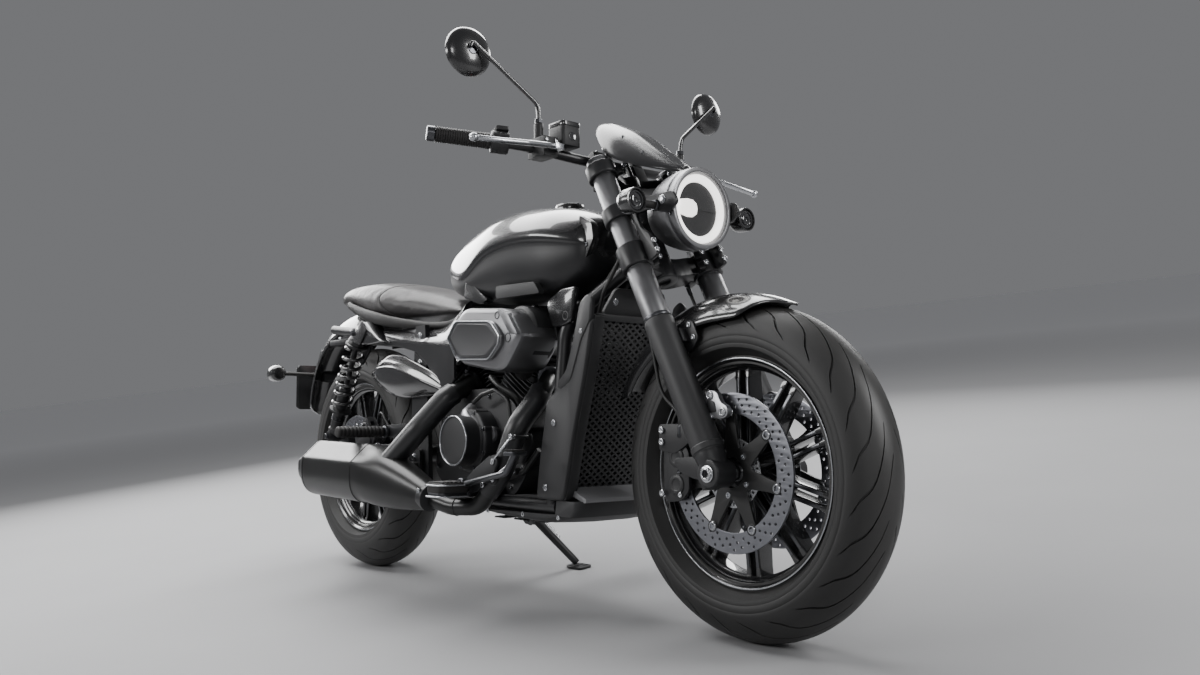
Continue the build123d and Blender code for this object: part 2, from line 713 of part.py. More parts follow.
def tank_and_seat():
    nodes = {}
    tank = lofted(mid_point, (
        (-217, 55, 474, 399, 30), (-162, 85, 508, 369, 50), (-72, 115, 540, 346, 75),
        (38, 135, 557, 332, 88), (158, 142, 555, 324, 90), (268, 138, 538, 322, 84),
        (348, 112, 512, 352, 60), (382, 84, 490, 392, 36),
    ))
    cap_x, cap_radius, cap_seat = 215, 35, 538
    cap_low = mid_point(cap_x, 0, cap_seat)
    tank -= rod(cap_low, mid_point(cap_x, 0, cap_seat + 60), cap_radius + seat_gap)
    saddle = block(mid_point(60, -18, spine_z + spine_radius + seat_gap), mid_point(130, 18, 345))
    nodes["fuel_tank"] = [tank + saddle]
    nodes["fuel_cap"] = [rod(cap_low, mid_point(cap_x, 0, cap_seat + 22), cap_radius)]
    seat_low = spine_z + spine_radius + seat_gap
    nodes["seat"] = [lofted(mid_point, (
        (-837, 60, 424, 394, 12), (-772, 105, 446, 388, 24), (-644, 140, 451, 378, 30),
        (-524, 152, 444, 336, 40), (-411, 150, 426, seat_low, 44), (-305, 125, 398, seat_low, 36),
        (-242, 104, 380, seat_low, 24), (-122, 92, 342, seat_low, 8),
    ))]
    return nodes


def bodywork():
    """The covers under the seat, the rounded ones below them and those at the shocks' tops."""
    nodes = {}
    panel = ((-432, 292), (-60, 288), (-70, 134), (-112, 134), (-185, 208), (-295, 234), (-400, 238),
             (-440, 252))
    bulb = ((-470, 175), (-400, 225), (-300, 222), (-200, 198), (-128, 132), (-190, 105), (-320, 100),
            (-430, 125))
    strut = ((95, 352), (110, 382), (230, 378), (295, 362), (290, 345), (215, 342))
    strut_points = [rear_point(x, 0, z) for x, z in strut]
    panel_thickness = 9
    bulb_depth = 34
    strut_thickness = 12
    panels, bulbs, covers = [], [], []
    for side in (-1, 1):
        inner = side * (plate_outer + seat_gap)
        panels.append(mid_plate(panel, inner, inner + side * panel_thickness))
        bulbs.append(mid_plate(bulb, inner, inner + side * bulb_depth))
        covers.append(plate(strut_points, side * plate_from, side * (plate_from + strut_thickness)))
    nodes["side_panels"] = panels + covers
    nodes["battery_covers"] = bulbs
    return nodes


def tail():
    nodes = {}
    centre = rear_point(-53, 0, 139)
    strip = arch(centre, rear_fender_crest, rear_fender_section, 4, rear_fender_spread, 68, 182)
    nodes["rear_fender"] = [strip]
    lamp_skin = 26
    tail_lamp = arch(centre, rear_fender_crest + lamp_skin, rear_fender_section + lamp_skin,
                     lamp_skin - seat_gap, 24, 140, 154)
    plate_x = -392
    board = block(rear_point(plate_x, -88, 150), rear_point(plate_x + 6, 88, 285))
    arm = block(rear_point(plate_x + 6, -30, 235), rear_point(-300, 30, 268))
    arm -= drum(centre, rear_fender_crest + seat_gap, -60, 60)
    nodes["plate_bracket"] = [board + arm]
    signals = []
    for side in (-1, 1):
        middle = rear_point(-366, side * 165, 252)
        stalk = rod(rear_point(-366, side * (30 + seat_gap), 252), middle, 7)
        body = rod(middle - Vector(24, 0, 0), middle + Vector(20, 0, 0), 22)
        signals.append(stalk + body)
    nodes["rear_lamps"] = [tail_lamp, *signals]
    return nodes


shock_y_from = plate_outer + seat_gap
shock_width = 36
shock_low = Vector(30, 0, 62)
shock_high = Vector(180, 0, 349)


def rear_suspension():
    nodes = {}
    arms = []
    for side in (-1, 1):
        low, high = sorted((side * arm_from, side * arm_outer))
        half = swingarm_height / 2
        pivot = mid_point(pivot_x, 0, pivot_z)
        points = [rear_point(-34, 0, -half), rear_point(-34, 0, half), rear_point(2, 0, half + 10),
                  rear_point(12, 0, 80), rear_point(50, 0, 80), rear_point(64, 0, half + 6),
                  pivot + Vector(24, 0, half), pivot + Vector(24, 0, -half)]
        arm = plate(points, low, high)
        arm -= drum(rear_axle, axle_radius + fit, low - 1, high + 1)
        arm -= drum(pivot, axle_radius + fit, low - 1, high + 1)
        boss = drum(rear_axle + shock_low, 12, side * arm_outer, side * (shock_y_from - seat_gap))
        arms.append(arm + boss)
    nodes["swingarm_arms"] = arms
    pivot = mid_point(pivot_x, 0, pivot_z)
    bridge = drum(pivot, 22, -arm_from, arm_from, axle_radius + fit)
    brace_x = rear_tyre_radius + 24
    bridge_low = Vector(brace_x, -arm_from, pivot.Z - 24)
    brace = block(bridge_low, Vector(pivot.X - 15, arm_from, pivot.Z + 8))
    brace -= drum(pivot, axle_radius + fit, -arm_from - 1, arm_from + 1)
    pin = drum(pivot, axle_radius, -plate_outer - 8, plate_outer + 8)
    nodes["swingarm_bridge"] = [bridge + brace, pin]
    bodies, springs = [], []
    for side in (-1, 1):
        y = side * (shock_y_from + shock_width / 2)
        low = rear_point(shock_low.X, y, shock_low.Z)
        high = rear_point(shock_high.X, y, shock_high.Z)
        along = (high - low).normalized()
        length = (high - low).length
        body = rod(low, low + along * (length * 0.5), 17) + rod(low, high, 8)
        seat_low = low + along * 74
        seat_high = high - along * 62
        body += rod(seat_low - along * 6, seat_low, 27) + rod(seat_high, seat_high + along * 40, 27)
        for eye in (low, high):
            body += drum(eye, 15, y - shock_width / 2, y + shock_width / 2)
        bodies.append(body)
        springs.append(pipe(seat_low, seat_high, 27, 18))
    nodes["shocks"] = bodies
    nodes["shock_springs"] = springs
    end = arm_outer + 14
    axle = drum(rear_axle, axle_radius, -end, end, axle_bore_radius)
    spacer = axle_radius + 5
    bore = axle_radius + fit
    right = drum(rear_axle, spacer, -rear_hub_half - seat_gap, -arm_from + seat_gap, bore)
    left = drum(rear_axle, spacer, pulley_outer + seat_gap, arm_from - seat_gap, bore)
    nodes["rear_axle"] = [axle, right, left]
    caliper = Pos(*rear_axle) * Rot(0, -40, 0) * Pos(103, -(rear_disc_at + 2.5), 0) * Box(62, 34, 92)
    bracket = block(rear_point(44, -arm_from + seat_gap, 0), rear_point(104, -(rear_disc_at + 12), 62))
    slot_to = -(rear_disc_at + disc_thickness + 2)
    slot = drum(rear_axle, rear_disc_radius + 4, -(rear_disc_at - 2), slot_to, hub_radius)
    nodes["rear_caliper"] = [caliper + bracket - slot]
    return nodes


muffler_tail = mid_point(-645, -250, -74)
muffler_shoulder = mid_point(-270, -250, -84)
muffler_nose = mid_point(-20, -238, -131)
muffler_nose_radius = 30
outlet_radius = 36
outlet_depth = 90


def muffler_body(extra):
    """The silencer: a drum that narrows towards its header, grown by extra."""
    sections = []
    stations = ((muffler_tail, muffler_shoulder - muffler_tail, muffler_radius),
                (muffler_shoulder, muffler_nose - muffler_tail, muffler_radius),
                (muffler_nose, muffler_nose - muffler_shoulder, muffler_nose_radius))
    for place, heading, radius in stations:
        level = Vector(0, 0, 1).cross(heading)
        sections.append(Plane(origin=place, x_dir=level, z_dir=heading) * Circle(radius + extra))
    return loft(sections, ruled=True)


def exhaust():
    nodes = {}
    muffler = muffler_body(0)
    inward = (muffler_shoulder - muffler_tail).normalized()
    muffler -= rod(muffler_tail - inward, muffler_tail + inward * outlet_depth, outlet_radius)
    rear = [mid_point(-75, -cylinder_half_width, 146), mid_point(-75, -140, 104), mid_point(-112, -212, 24),
            mid_point(-205, -248, -66)]
    rear_header = bent_rod(rear, header_radius, [45, 70]) - muffler - engine_case()
    front = [mid_point(188, -40, 152), mid_point(240, -100, 112), mid_point(225, -160, 40),
             mid_point(190, -176, -60), mid_point(110, -184, -150), mid_point(40, -212, -152),
             mid_point(-60, -240, -127)]
    front_header = bent_rod(front, header_radius - 2, [40, 70, 90, 60, 90]) - muffler
    front_header -= tilted_block(cylinder_tilt, 90, 268, 68, cylinder_half_width)
    rear_header -= tilted_block(-cylinder_tilt, 90, 268, 68, cylinder_half_width)
    nodes["exhaust_headers"] = [rear_header, front_header]
    hanger = block(mid_point(-262, -200, -100), mid_point(-222, -plate_outer, -60))
    nodes["muffler"] = [muffler, hanger - muffler_body(fit)]
    return nodes


def foot_controls():
    nodes = {}
    pegs, riders, pillion = [], [], []
    for side in (-1, 1):
        low, high = sorted((side * (case_half_width + seat_gap), side * 222))
        mount = block(mid_point(55, low, rail_low + frame_tube_radius + seat_gap), mid_point(95, high, -98))
        mount += block(mid_point(60, side * 222, -124), mid_point(130, side * 330, -98))
        riders.append(mount)
        hinge = ((-290, 0), (-250, 40), (-400, 36), (-400, 8))
        arm = mid_plate(hinge, side * plate_outer, side * (plate_outer + 12))
        arm += block(mid_point(-402, side * (plate_outer + 12), 8), mid_point(-372, side * 300, 34))
        pillion.append(arm)
        start = mid_point(112, side * 232, -90.6)
        knee = mid_point(290, side * 238, -66)
        top = mid_point(330, side * 240, -10)
        pedal = rod(start, knee, 7) + Pos(*knee) * Sphere(7) + rod(knee, top, 7)
        pedal += block(top + Vector(-14, -22, -4), top + Vector(14, 22, 10))
        pegs.append(pedal)
    nodes["rider_pegs"] = riders
    nodes["passenger_pegs"] = pillion
    nodes["foot_pedals"] = pegs
    return nodes


# ------------------------------------------------------------------ side stand
ground_normal = Vector(0, -math.sin(math.radians(park_lean)), math.cos(math.radians(park_lean)))
ground_drop = rear_tyre_width / 2 * (1 - math.cos(math.radians(park_lean)))
stand_tilt = 41
stand_axis = Vector(0, math.cos(math.radians(stand_tilt)), math.sin(math.radians(stand_tilt)))
stand_pivot = mid_point(-122, rail_y + 20, -201)
stand_angle = 73
stand_plane = Plane(origin=stand_pivot, x_dir=(1, 0, 0), z_dir=stand_axis)
stand_heading = Vector(1, 0, 0).rotate(Axis((0, 0, 0), stand_axis), stand_angle)
stand_foot_thickness = 6


def side_stand():
    head_half = 12
    leg_radius = 11
    above = stand_pivot.dot(ground_normal) + ground_drop - stand_foot_thickness - leg_radius / 2
    length = -above / stand_heading.dot(ground_normal)
    foot = stand_pivot + stand_heading * length
    hub = stand_plane.location * (Cylinder(20, 2 * head_half) - Cylinder(8 + fit, 2 * head_half))
    leg = rod(stand_pivot + stand_heading * 16, foot, leg_radius)
    pad_plane = Plane(origin=foot, x_dir=(1, 0, 0), z_dir=ground_normal)
    under = (foot.dot(ground_normal) + ground_drop)
    pad_middle = Pos(4, 0, stand_foot_thickness / 2 - under)
    pad = pad_plane.location * pad_middle * Box(74, 44, stand_foot_thickness)
    below = pad_plane.location * Pos(0, 0, -under - 50) * Box(200, 200, 100)
    stand = hub + leg + pad - below - stand_plane.location * Cylinder(8 + fit, 4 * head_half)
    ears = stand_plane.location * Pos(0, -20, 0) * Box(40, 72, 2 * head_half + 14)
    ears += stand_plane.location * Cylinder(20, 2 * head_half + 14)
    gap = stand_plane.location * Cylinder(24, 2 * head_half + 2 * seat_gap)
    gap += stand_plane.location * Pos(0, 40, 0) * Box(200, 80, 2 * head_half + 2 * seat_gap)
    rail = rod(mid_point(300, rail_y, rail_low), mid_point(-222, rail_y, rail_low), frame_tube_radius + fit)
    pin = stand_plane.location * Cylinder(8, 2 * head_half + 22)
    bracket = ears - gap - rail + pin
    return bracket, stand


# ------------------------------------------------------------------ bodies
def chassis():
    nodes = {}
    for section in (frame, engine, cooling, tank_and_seat, bodywork, tail, rear_suspension, exhaust,
                    foot_controls):
        nodes.update(section())
    nodes["lower_rails"].append(side_stand()[0])
    return nodes


def steering():
    nodes = {}
    for section in (front_end_forks, clamps, front_axle_set, front_calipers, brake_hoses, controls,
                    front_lamps, flyscreen, front_fender):
        nodes.update(section())
    return nodes


def build():
    return {
        "chassis": chassis(),
        "steering": steering(),
        "front_wheel": front_wheel(),
        "rear_wheel": rear_wheel(),
        "side_stand": {"side_stand": [side_stand()[1]]},
    }


def parked(bodies):
    """Lean every piece onto the stand and set the whole machine's box centre over the origin."""
    lean = Rot(-park_lean, 0, 0)
    leaned = {body: {name: [lean * solid for solid in solids] for name, solids in nodes.items()}
              for body, nodes in bodies.items()}
    everything = Compound(children=[Compound(children=solids) for nodes in leaned.values()
                                    for solids in nodes.values()])
    box = everything.bounding_box()
    shift = Pos(-(box.min.X + box.max.X) / 2, -(box.min.Y + box.max.Y) / 2, -box.min.Z)
    return {body: {name: Compound(children=[shift * solid for solid in solids])
                   for name, solids in nodes.items()} for body, nodes in leaned.items()}, shift * lean


def main():
    os.makedirs("parts", exist_ok=True)
    placed, _ = parked(build())
    for nodes in placed.values():
        for name, shape in nodes.items():
            export_step(shape, "parts/" + name + ".step")
            print(name, len(shape.solids()), round(shape.volume))


if __name__ == "__main__":
    main()
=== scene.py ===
# %% [markdown]
# # A cruiser motorcycle in Blender
# The machine's frame, joints and sizes come from a imported CAD model. This file gives every piece its
# real shape and finish around that frame. We start by loading the frame and its joints.

# %% Load the frame
import json
import math

import bpy
import bmesh
import numpy as np
from mathutils import Matrix, Vector
from mathutils.bvhtree import BVHTree


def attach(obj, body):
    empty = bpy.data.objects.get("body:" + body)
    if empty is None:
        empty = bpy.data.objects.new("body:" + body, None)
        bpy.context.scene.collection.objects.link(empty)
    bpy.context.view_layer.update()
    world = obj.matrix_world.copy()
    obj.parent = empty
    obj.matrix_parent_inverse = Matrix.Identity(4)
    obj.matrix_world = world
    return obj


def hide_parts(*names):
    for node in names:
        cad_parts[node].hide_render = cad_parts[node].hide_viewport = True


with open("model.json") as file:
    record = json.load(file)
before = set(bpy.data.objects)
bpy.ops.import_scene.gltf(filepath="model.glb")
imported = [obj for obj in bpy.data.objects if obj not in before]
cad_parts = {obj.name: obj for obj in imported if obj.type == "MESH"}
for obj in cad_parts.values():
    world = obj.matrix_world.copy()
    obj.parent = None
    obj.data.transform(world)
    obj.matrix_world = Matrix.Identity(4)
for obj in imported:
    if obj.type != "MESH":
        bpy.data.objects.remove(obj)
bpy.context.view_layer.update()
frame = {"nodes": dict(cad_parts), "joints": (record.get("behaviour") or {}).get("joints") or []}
joints = {joint["name"]: joint for joint in frame["joints"]}
print("CAD nodes:", len(frame["nodes"]), "joints:", sorted(joints))

# %% [markdown]
# ## The parked machine
# The motorcycle leans on its stand, which makes every direction awkward to think in. So we model
# upright, in millimetres, with X forward, Y to the machine's left and Z up from the ground under the
# rear axle. One matrix, `PARK`, then leans each finished piece. We read the lean from the wheel's axis.

# %% Upright directions and the parking matrix
WHEELBASE, FRONT_RADIUS, REAR_RADIUS = 1500, 320, 323
RAKE, FORK_OFFSET = math.radians(27.3), 35
STEM_LOW = 510.3
CRANK_BEHIND_HEAD, CRANK_BELOW_HEAD = 513, 381
FORK_Y = 103

wheel_axis = Vector(joints["front_wheel_spin"]["axis"])
LEAN = math.atan2(-wheel_axis.z, wheel_axis.y)
lean_turn = Matrix.Rotation(-LEAN, 4, "X")
front_axle_parked = Vector(joints["front_wheel_spin"]["pos_m"])

FRONT_AXLE = Vector((WHEELBASE, 0, FRONT_RADIUS))
PARK = Matrix.Translation(front_axle_parked - lean_turn @ FRONT_AXLE / 1000) @ lean_turn
REAR_AXLE = Vector((0, 0, REAR_RADIUS))
UP_LEG = Vector((-math.sin(RAKE), 0, math.cos(RAKE)))
AHEAD_LEG = Vector((math.cos(RAKE), 0, math.sin(RAKE)))
LEFT = Vector((0, 1, 0))
SIDES = (-1, 1)


def fork_at(u, y, t):
    """A point measured from the front axle: ahead of the legs, to the left, up along them."""
    return FRONT_AXLE + AHEAD_LEG * u + LEFT * y + UP_LEG * t


HEAD_LOW = fork_at(-FORK_OFFSET, 0, STEM_LOW)
CRANK = Vector((HEAD_LOW.x - CRANK_BEHIND_HEAD, 0, HEAD_LOW.z - CRANK_BELOW_HEAD))
BAR = fork_at(-48, 0, 778)


def crank_at(x, y, z):
    """A point measured from the crank's centre."""
    return CRANK + Vector((x, y, z))


def rear_at(x, y, z):
    """A point measured from the rear axle."""
    return REAR_AXLE + Vector((x, y, z))


def bar_at(x, y, z):
    """A point measured from the middle of the handlebar."""
    return BAR + Vector((x, y, z))


print("lean", round(math.degrees(LEAN), 2), "crank at", tuple(round(v) for v in CRANK))

# %% [markdown]
# ## Writing shader maths as Python
# Node trees get long when they are built link by link. `Value` wraps a socket, so that `1 - mask * 0.3`
# adds its own Math nodes. `Finish` is one material: `node` adds any other node, with its settings first.
# Whatever changes over a surface goes to colour, roughness, metallic, coat or a bump. Constants are set
# straight on the shader.

# %% A socket that can be added and multiplied
class Value:
    """A socket that Python's arithmetic turns into Math nodes."""

    def __init__(self, finish, socket):
        self.finish, self.socket = finish, socket

    def maths(self, operation, first, second=0.0):
        return self.finish.node("ShaderNodeMath", {"operation": operation}, {0: first, 1: second})

    def __add__(self, other):
        return self.maths("ADD", self, other)

    def __sub__(self, other):
        return self.maths("SUBTRACT", self, other)

    def __rsub__(self, other):
        return self.maths("SUBTRACT", other, self)

    def __mul__(self, other):
        return self.maths("MULTIPLY", self, other)

    def __truediv__(self, other):
        return self.maths("DIVIDE", self, other)

    def __pow__(self, other):
        return self.maths("POWER", self, other)

    __radd__, __rmul__ = __add__, __mul__


class Finish:
    """One procedural material."""

    def __init__(self, name, **constants):
        self.material = bpy.data.materials.new(name)
        self.material.use_nodes = True
        self.tree = self.material.node_tree
        self.shader = self.tree.nodes["Principled BSDF"]
        self.set(**constants)

    def put(self, socket, value):
        if isinstance(value, Value):
            self.tree.links.new(value.socket, socket)
        elif socket.type == "RGBA" and len(value) == 3:
            socket.default_value = (*value, 1)
        else:
            socket.default_value = value

    def set(self, **values):
        """Sets or links the shader's sockets, by their names with _ for a space."""
        for name, value in values.items():
            self.put(self.shader.inputs[name.replace("_", " ")], value)

    def node(self, kind, settings=None, sockets=None, output=0):
        made = self.tree.nodes.new(kind)
        for name, value in (settings or {}).items():
            if name == "stops":
                ramp = made.color_ramp
                while len(ramp.elements) < len(value):
                    ramp.elements.new(1)
                for element, (place, shade) in zip(ramp.elements, value):
                    element.position = place
                    element.color = (shade, shade, shade, 1)
            else:
                setattr(made, name, value)
        for name, value in (sockets or {}).items():
            self.put(made.inputs[name], value)
        return Value(self, made.outputs[output])

    def place(self):
        return self.node("ShaderNodeTexCoord", output="Object")

    def axes(self):
        """The surface point's X, Y and Z in metres, upright."""
        place = self.place()
        return [self.node("ShaderNodeSeparateXYZ", None, {0: place}, output) for output in ("X", "Y", "Z")]

    def noise(self, size, detail=3.0, rough=0.5, place=None, stretch=None):
        """Soft blotches about size metres across, 0 to 1."""
        where = place or self.place()
        if stretch:
            where = self.node("ShaderNodeMapping", None, {"Vector": where, "Scale": stretch})
        return self.node("ShaderNodeTexNoise", None,
                         {"Vector": where, "Scale": 1 / size, "Detail": detail, "Roughness": rough})

    def cells(self, size):
        """The distance to the nearest of many cells about size metres across."""
        return self.node("ShaderNodeTexVoronoi", None, {"Vector": self.place(), "Scale": 1 / size},
                         "Distance")

    def ramp(self, value, *stops):
        return self.node("ShaderNodeValToRGB", {"stops": stops}, {"Fac": value})

    def mix(self, factor, first, second):
        """A colour between two colours."""
        return self.node("ShaderNodeMix", {"data_type": "RGBA"}, {"Factor": factor, 6: first, 7: second}, 2)

    def bump(self, height, depth):
        """A bump of so many metres' depth."""
        self.set(Normal=self.node("ShaderNodeBump", None, {"Height": height, "Distance": depth,
                                                           "Strength": 1.0}))
        return self


# %% [markdown]
# ## Paints
# Black lacquer is a dark base under a clear coat, and what the eye reads is the coat: a faint
# orange-peel wave in it, and a little dust that breaks the gloss. Satin paint has no coat, and its grain
# comes from fine noise in the roughness and a shallow bump.

# %% Gloss, satin and textured blacks
def lacquer(name, colour, dust=0.05):
    """A dark base under a clear coat."""
    made = Finish(name, Coat_Roughness=0.04, Coat_IOR=1.5, Specular_IOR_Level=0.5)
    haze = made.noise(0.12, 4)
    specks = made.noise(0.0016, 2)
    tone = made.mix(made.ramp(haze, (0.35, 0.0), (0.8, dust)), colour, (0.2, 0.19, 0.18))
    made.set(Base_Color=tone, Roughness=0.22 + specks * 0.08, Coat_Weight=1 - haze * 0.25)
    return made.bump(made.noise(0.006, 1), 0.00001)


def satin(name, colour, rough=0.42, grain=0.0007, metallic=0.0, depth=0.00003):
    """Paint with no coat and a fine grain."""
    made = Finish(name, Specular_IOR_Level=0.5)
    blotch = made.noise(0.07, 4)
    fine = made.noise(grain, 2)
    light = [min(1, c * 1.6 + 0.01) for c in colour]
    made.set(Base_Color=made.mix(blotch * 0.55 + fine * 0.2, colour, light), Metallic=metallic,
             Roughness=rough + blotch * 0.12 - fine * 0.06)
    return made.bump(fine, depth)


gloss_black = lacquer("gloss_black_lacquer", (0.006, 0.006, 0.007))
gloss_plastic = lacquer("gloss_black_plastic", (0.010, 0.010, 0.011), 0.08)
satin_black = satin("satin_black_paint", (0.007, 0.007, 0.008), 0.36)
gunmetal = satin("satin_gunmetal", (0.16, 0.16, 0.165), 0.36, 0.0006, 0.92)
chin_grey = satin("chin_grey", (0.16, 0.16, 0.165), 0.45)
carrier_black = satin("carrier_black", (0.004, 0.004, 0.004), 0.42, 0.0009)
guard_grey = satin("matt_dark_grey", (0.022, 0.022, 0.023), 0.48, 0.0009, 0.2)
frame_black = satin("frame_black", (0.008, 0.008, 0.009), 0.34, 0.0012)
engine_black = satin("textured_engine_black", (0.008, 0.008, 0.009), 0.46, 0.0011, 0.0, 0.00012)
cast_grey = satin("cast_dark_grey", (0.03, 0.03, 0.032), 0.44, 0.0013, 0.6, 0.0001)
cast_alloy = satin("cast_alloy", (0.32, 0.32, 0.33), 0.34, 0.0012, 0.9, 0.00008)
exhaust_black = satin("heat_proof_black", (0.03, 0.03, 0.03), 0.3, 0.001, 0.8, 0.00004)
print("paints:", len(bpy.data.materials))

# %% [markdown]
# ## Plastics, rubber and leather
# Moulded plastic has a fine pebbled grain, which is a Voronoi pattern in the bump. Rubber is the same
# idea with a duller, slightly brown colour. Leather has larger cells with creases between them, and a
# soft cloudy change of tone where it is handled.

# %% Grained finishes
def grained(name, colour, rough, size, depth, pale):
    """A pebbled surface. pale is how much lighter its cloudy patches are."""
    made = Finish(name, Specular_IOR_Level=0.4)
    pebble = made.cells(size)
    cloud = made.noise(0.05, 4)
    tone = made.mix(made.ramp(cloud, (0.3, 0.0), (0.85, 0.8)), colour, [c + pale for c in colour])
    made.set(Base_Color=tone, Roughness=rough + cloud * 0.14 - pebble * 0.1)
    return made.bump(pebble, depth)


dark_plastic = grained("moulded_plastic", (0.012, 0.012, 0.013), 0.48, 0.0008, 0.00006, 0.012)
rubber = grained("soft_rubber", (0.012, 0.011, 0.011), 0.6, 0.0012, 0.00005, 0.012)
hose_rubber = grained("hose_rubber", (0.013, 0.013, 0.013), 0.45, 0.0009, 0.00003, 0.015)
leather = grained("seat_leather", (0.020, 0.018, 0.018), 0.36, 0.0016, 0.00018, 0.014)
side_leather = grained("seat_side_leather", (0.008, 0.0075, 0.0075), 0.55, 0.0013, 0.00015, 0.006)


def tyre_rubber():
    """Tread rubber: scuffed paler where it meets the road, smooth and darker on the walls."""
    made = Finish("tyre_rubber", Specular_IOR_Level=0.6)
    _, y, _ = made.axes()
    scuff = made.noise(0.02, 5, 0.65)
    fine = made.noise(0.0012, 2)
    crown = made.ramp(y * y * 300, (0.25, 1.0), (0.95, 0.0))
    tone = made.mix(crown * (0.3 + scuff * 0.7), (0.009, 0.0087, 0.0085), (0.028, 0.027, 0.026))
    made.set(Base_Color=tone, Roughness=0.56 - crown * 0.12 + scuff * 0.08)
    return made.bump(fine + scuff * 0.8, 0.00012)


tyre_black = tyre_rubber()

# %% [markdown]
# ## Metals
# A turned or ground face shows rings about its axis, so the roughness and the bump change with the
# distance from the wheel's centre. Bright machined edges and plated screws are plain metal with small
# scratches. The same bright metal also lies in thin rings along the rims' lips and the pegs' edges, as
# painted highlights.

# %% Bare metals
def bare_metal(name, colour, rough, scratch=0.0009, stretch=(1, 1, 1)):
    """Unpainted metal with fine scratches."""
    made = Finish(name, Metallic=1.0)
    lines = made.noise(scratch, 2, 0.6, stretch=stretch)
    cloud = made.noise(0.04, 3)
    made.set(Base_Color=made.mix(cloud, colour, [c * 0.82 for c in colour]), Roughness=rough + lines * 0.14)
    return made.bump(lines, 0.00001)


def ground_disc(name, centre, colour, rough):
    """Steel ground in rings about an axle that lies along Y."""
    made = Finish(name, Metallic=1.0)
    x, _, z = made.axes()
    across, high = x - centre.x / 1000, z - centre.z / 1000
    radius = (across * across + high * high) ** 0.5
    flat = made.node("ShaderNodeCombineXYZ", None, {0: radius, 1: 0.0, 2: 0.0})
    rings = made.noise(0.0006, 2, 0.7, place=flat)
    stain = made.noise(0.03, 3)
    tone = made.mix(rings * 0.6 + stain * 0.4, colour, [c * 0.62 for c in colour])
    made.set(Base_Color=tone, Roughness=rough + rings * 0.18)
    return made.bump(rings, 0.00002)


machined_and_highlights = bare_metal("machined_alloy_and_highlights", (0.5, 0.51, 0.53), 0.2, 0.0006, (1, 6, 1))
shaded_alloy = bare_metal("shaded_alloy", (0.13, 0.132, 0.14), 0.24, 0.0006)
dark_metal = bare_metal("dark_plated_steel", (0.11, 0.112, 0.12), 0.26)
bright_screw = bare_metal("plated_screw", (0.62, 0.63, 0.65), 0.18)
front_disc_steel = ground_disc("front_disc_steel", FRONT_AXLE, (0.27, 0.275, 0.3), 0.27)
rear_disc_steel = ground_disc("rear_disc_steel", REAR_AXLE, (0.27, 0.275, 0.3), 0.27)
mirror_face = Finish("mirror_face", Metallic=1.0, Roughness=0.02, Base_Color=(0.8, 0.82, 0.84))
print("finishes:", len(bpy.data.materials))

# %% [markdown]
# ## Lamps and glass
# A daytime ring glows by itself, so it is an emission colour. Clear lenses let most light through, and
# a tail lamp's red lens is glossy plastic with a trace of its own glow.

# %% Glowing and clear finishes
ring_light = Finish("daytime_ring", Emission_Strength=2.4, Emission_Color=(1, 0.98, 0.95), Roughness=0.3)
beam_light = Finish("beam_glow", Emission_Strength=2.0, Emission_Color=(1, 0.97, 0.92), Roughness=0.3)
lamp_bowl = satin("lamp_bowl", (0.006, 0.006, 0.007), 0.45)
clear_glass = Finish("clear_lens", Alpha=0.06, Roughness=0.05, Base_Color=(0.03, 0.03, 0.03))
smoked_lens = Finish("smoked_lens", Roughness=0.08, Base_Color=(0.035, 0.035, 0.037), Coat_Weight=1.0)
red_lens = Finish("red_lens", Roughness=0.12, Base_Color=(0.3, 0.01, 0.01), Coat_Weight=1.0,
                  Emission_Color=(0.6, 0.02, 0.01), Emission_Strength=0.12)
red_button = Finish("red_button", Roughness=0.3, Base_Color=(0.5, 0.02, 0.015), Coat_Weight=0.4)
screen_plastic = satin("screen_plastic", (0.02, 0.02, 0.021), 0.2)

# %% [markdown]
# ## A maker's bench
# Every piece is a `Clay`: a list of points in upright millimetres and the faces between them. `rings`
# joins one closed ring of points to the next, which makes tubes, tyres, tanks and fins alike. `piece`
# turns the clay into an object, bevels or smooths it, leans it with `PARK` and lets it ride on its body.

# %% The clay and the piece
class Clay:
    """Points in upright millimetres and the faces between them, each face with its finish's number."""

    def __init__(self):
        self.points, self.faces, self.finishes = [], [], []

    def add(self, points, faces, finish=0):
        start = len(self.points)
        self.points.extend(Vector(point) for point in points)
        self.faces.extend(tuple(start + corner for corner in face) for face in faces)
        self.finishes.extend([finish] * len(faces))
        return self

    def rings(self, rings, finish=0, loop=False, caps=True):
        """Quads from each ring of points to the next. loop joins the last ring to the first. finish is a
        number, or a function of the step around the ring."""
        count = len(rings[0])
        faces, marks = [], []
        for row in range(len(rings) if loop else len(rings) - 1):
            above = (row + 1) % len(rings)
            for step in range(count):
                beside = (step + 1) % count
                faces.append((row * count + step, row * count + beside,
                              above * count + beside, above * count + step))
                marks.append(finish(step) if callable(finish) else finish)
        if caps and not loop:
            faces.append(tuple(reversed(range(count))))
            faces.append(tuple(range((len(rings) - 1) * count, len(rings) * count)))
            marks += [0 if callable(finish) else finish] * 2
        self.add([point for ring in rings for point in ring], faces)
        self.finishes[-len(marks):] = marks
        return self

    def join(self, other, shift=0):
        start = len(self.points)
        self.points.extend(other.points)
        self.faces.extend(tuple(start + corner for corner in face) for face in other.faces)
        self.finishes.extend(finish + shift for finish in other.finishes)
        return self

    def moved(self, matrix):
        made = Clay()
        made.points = [matrix @ point for point in self.points]
        made.faces = list(self.faces)
        made.finishes = list(self.finishes)
        return made


MERGE_NEARER, BEVEL_STEEPER = 0.00001, math.radians(32)
triangles = {}


def evaluated_mesh(holder):
    """A new mesh from an object, with its modifiers applied."""
    return bpy.data.meshes.new_from_object(holder.evaluated_get(bpy.context.evaluated_depsgraph_get()))


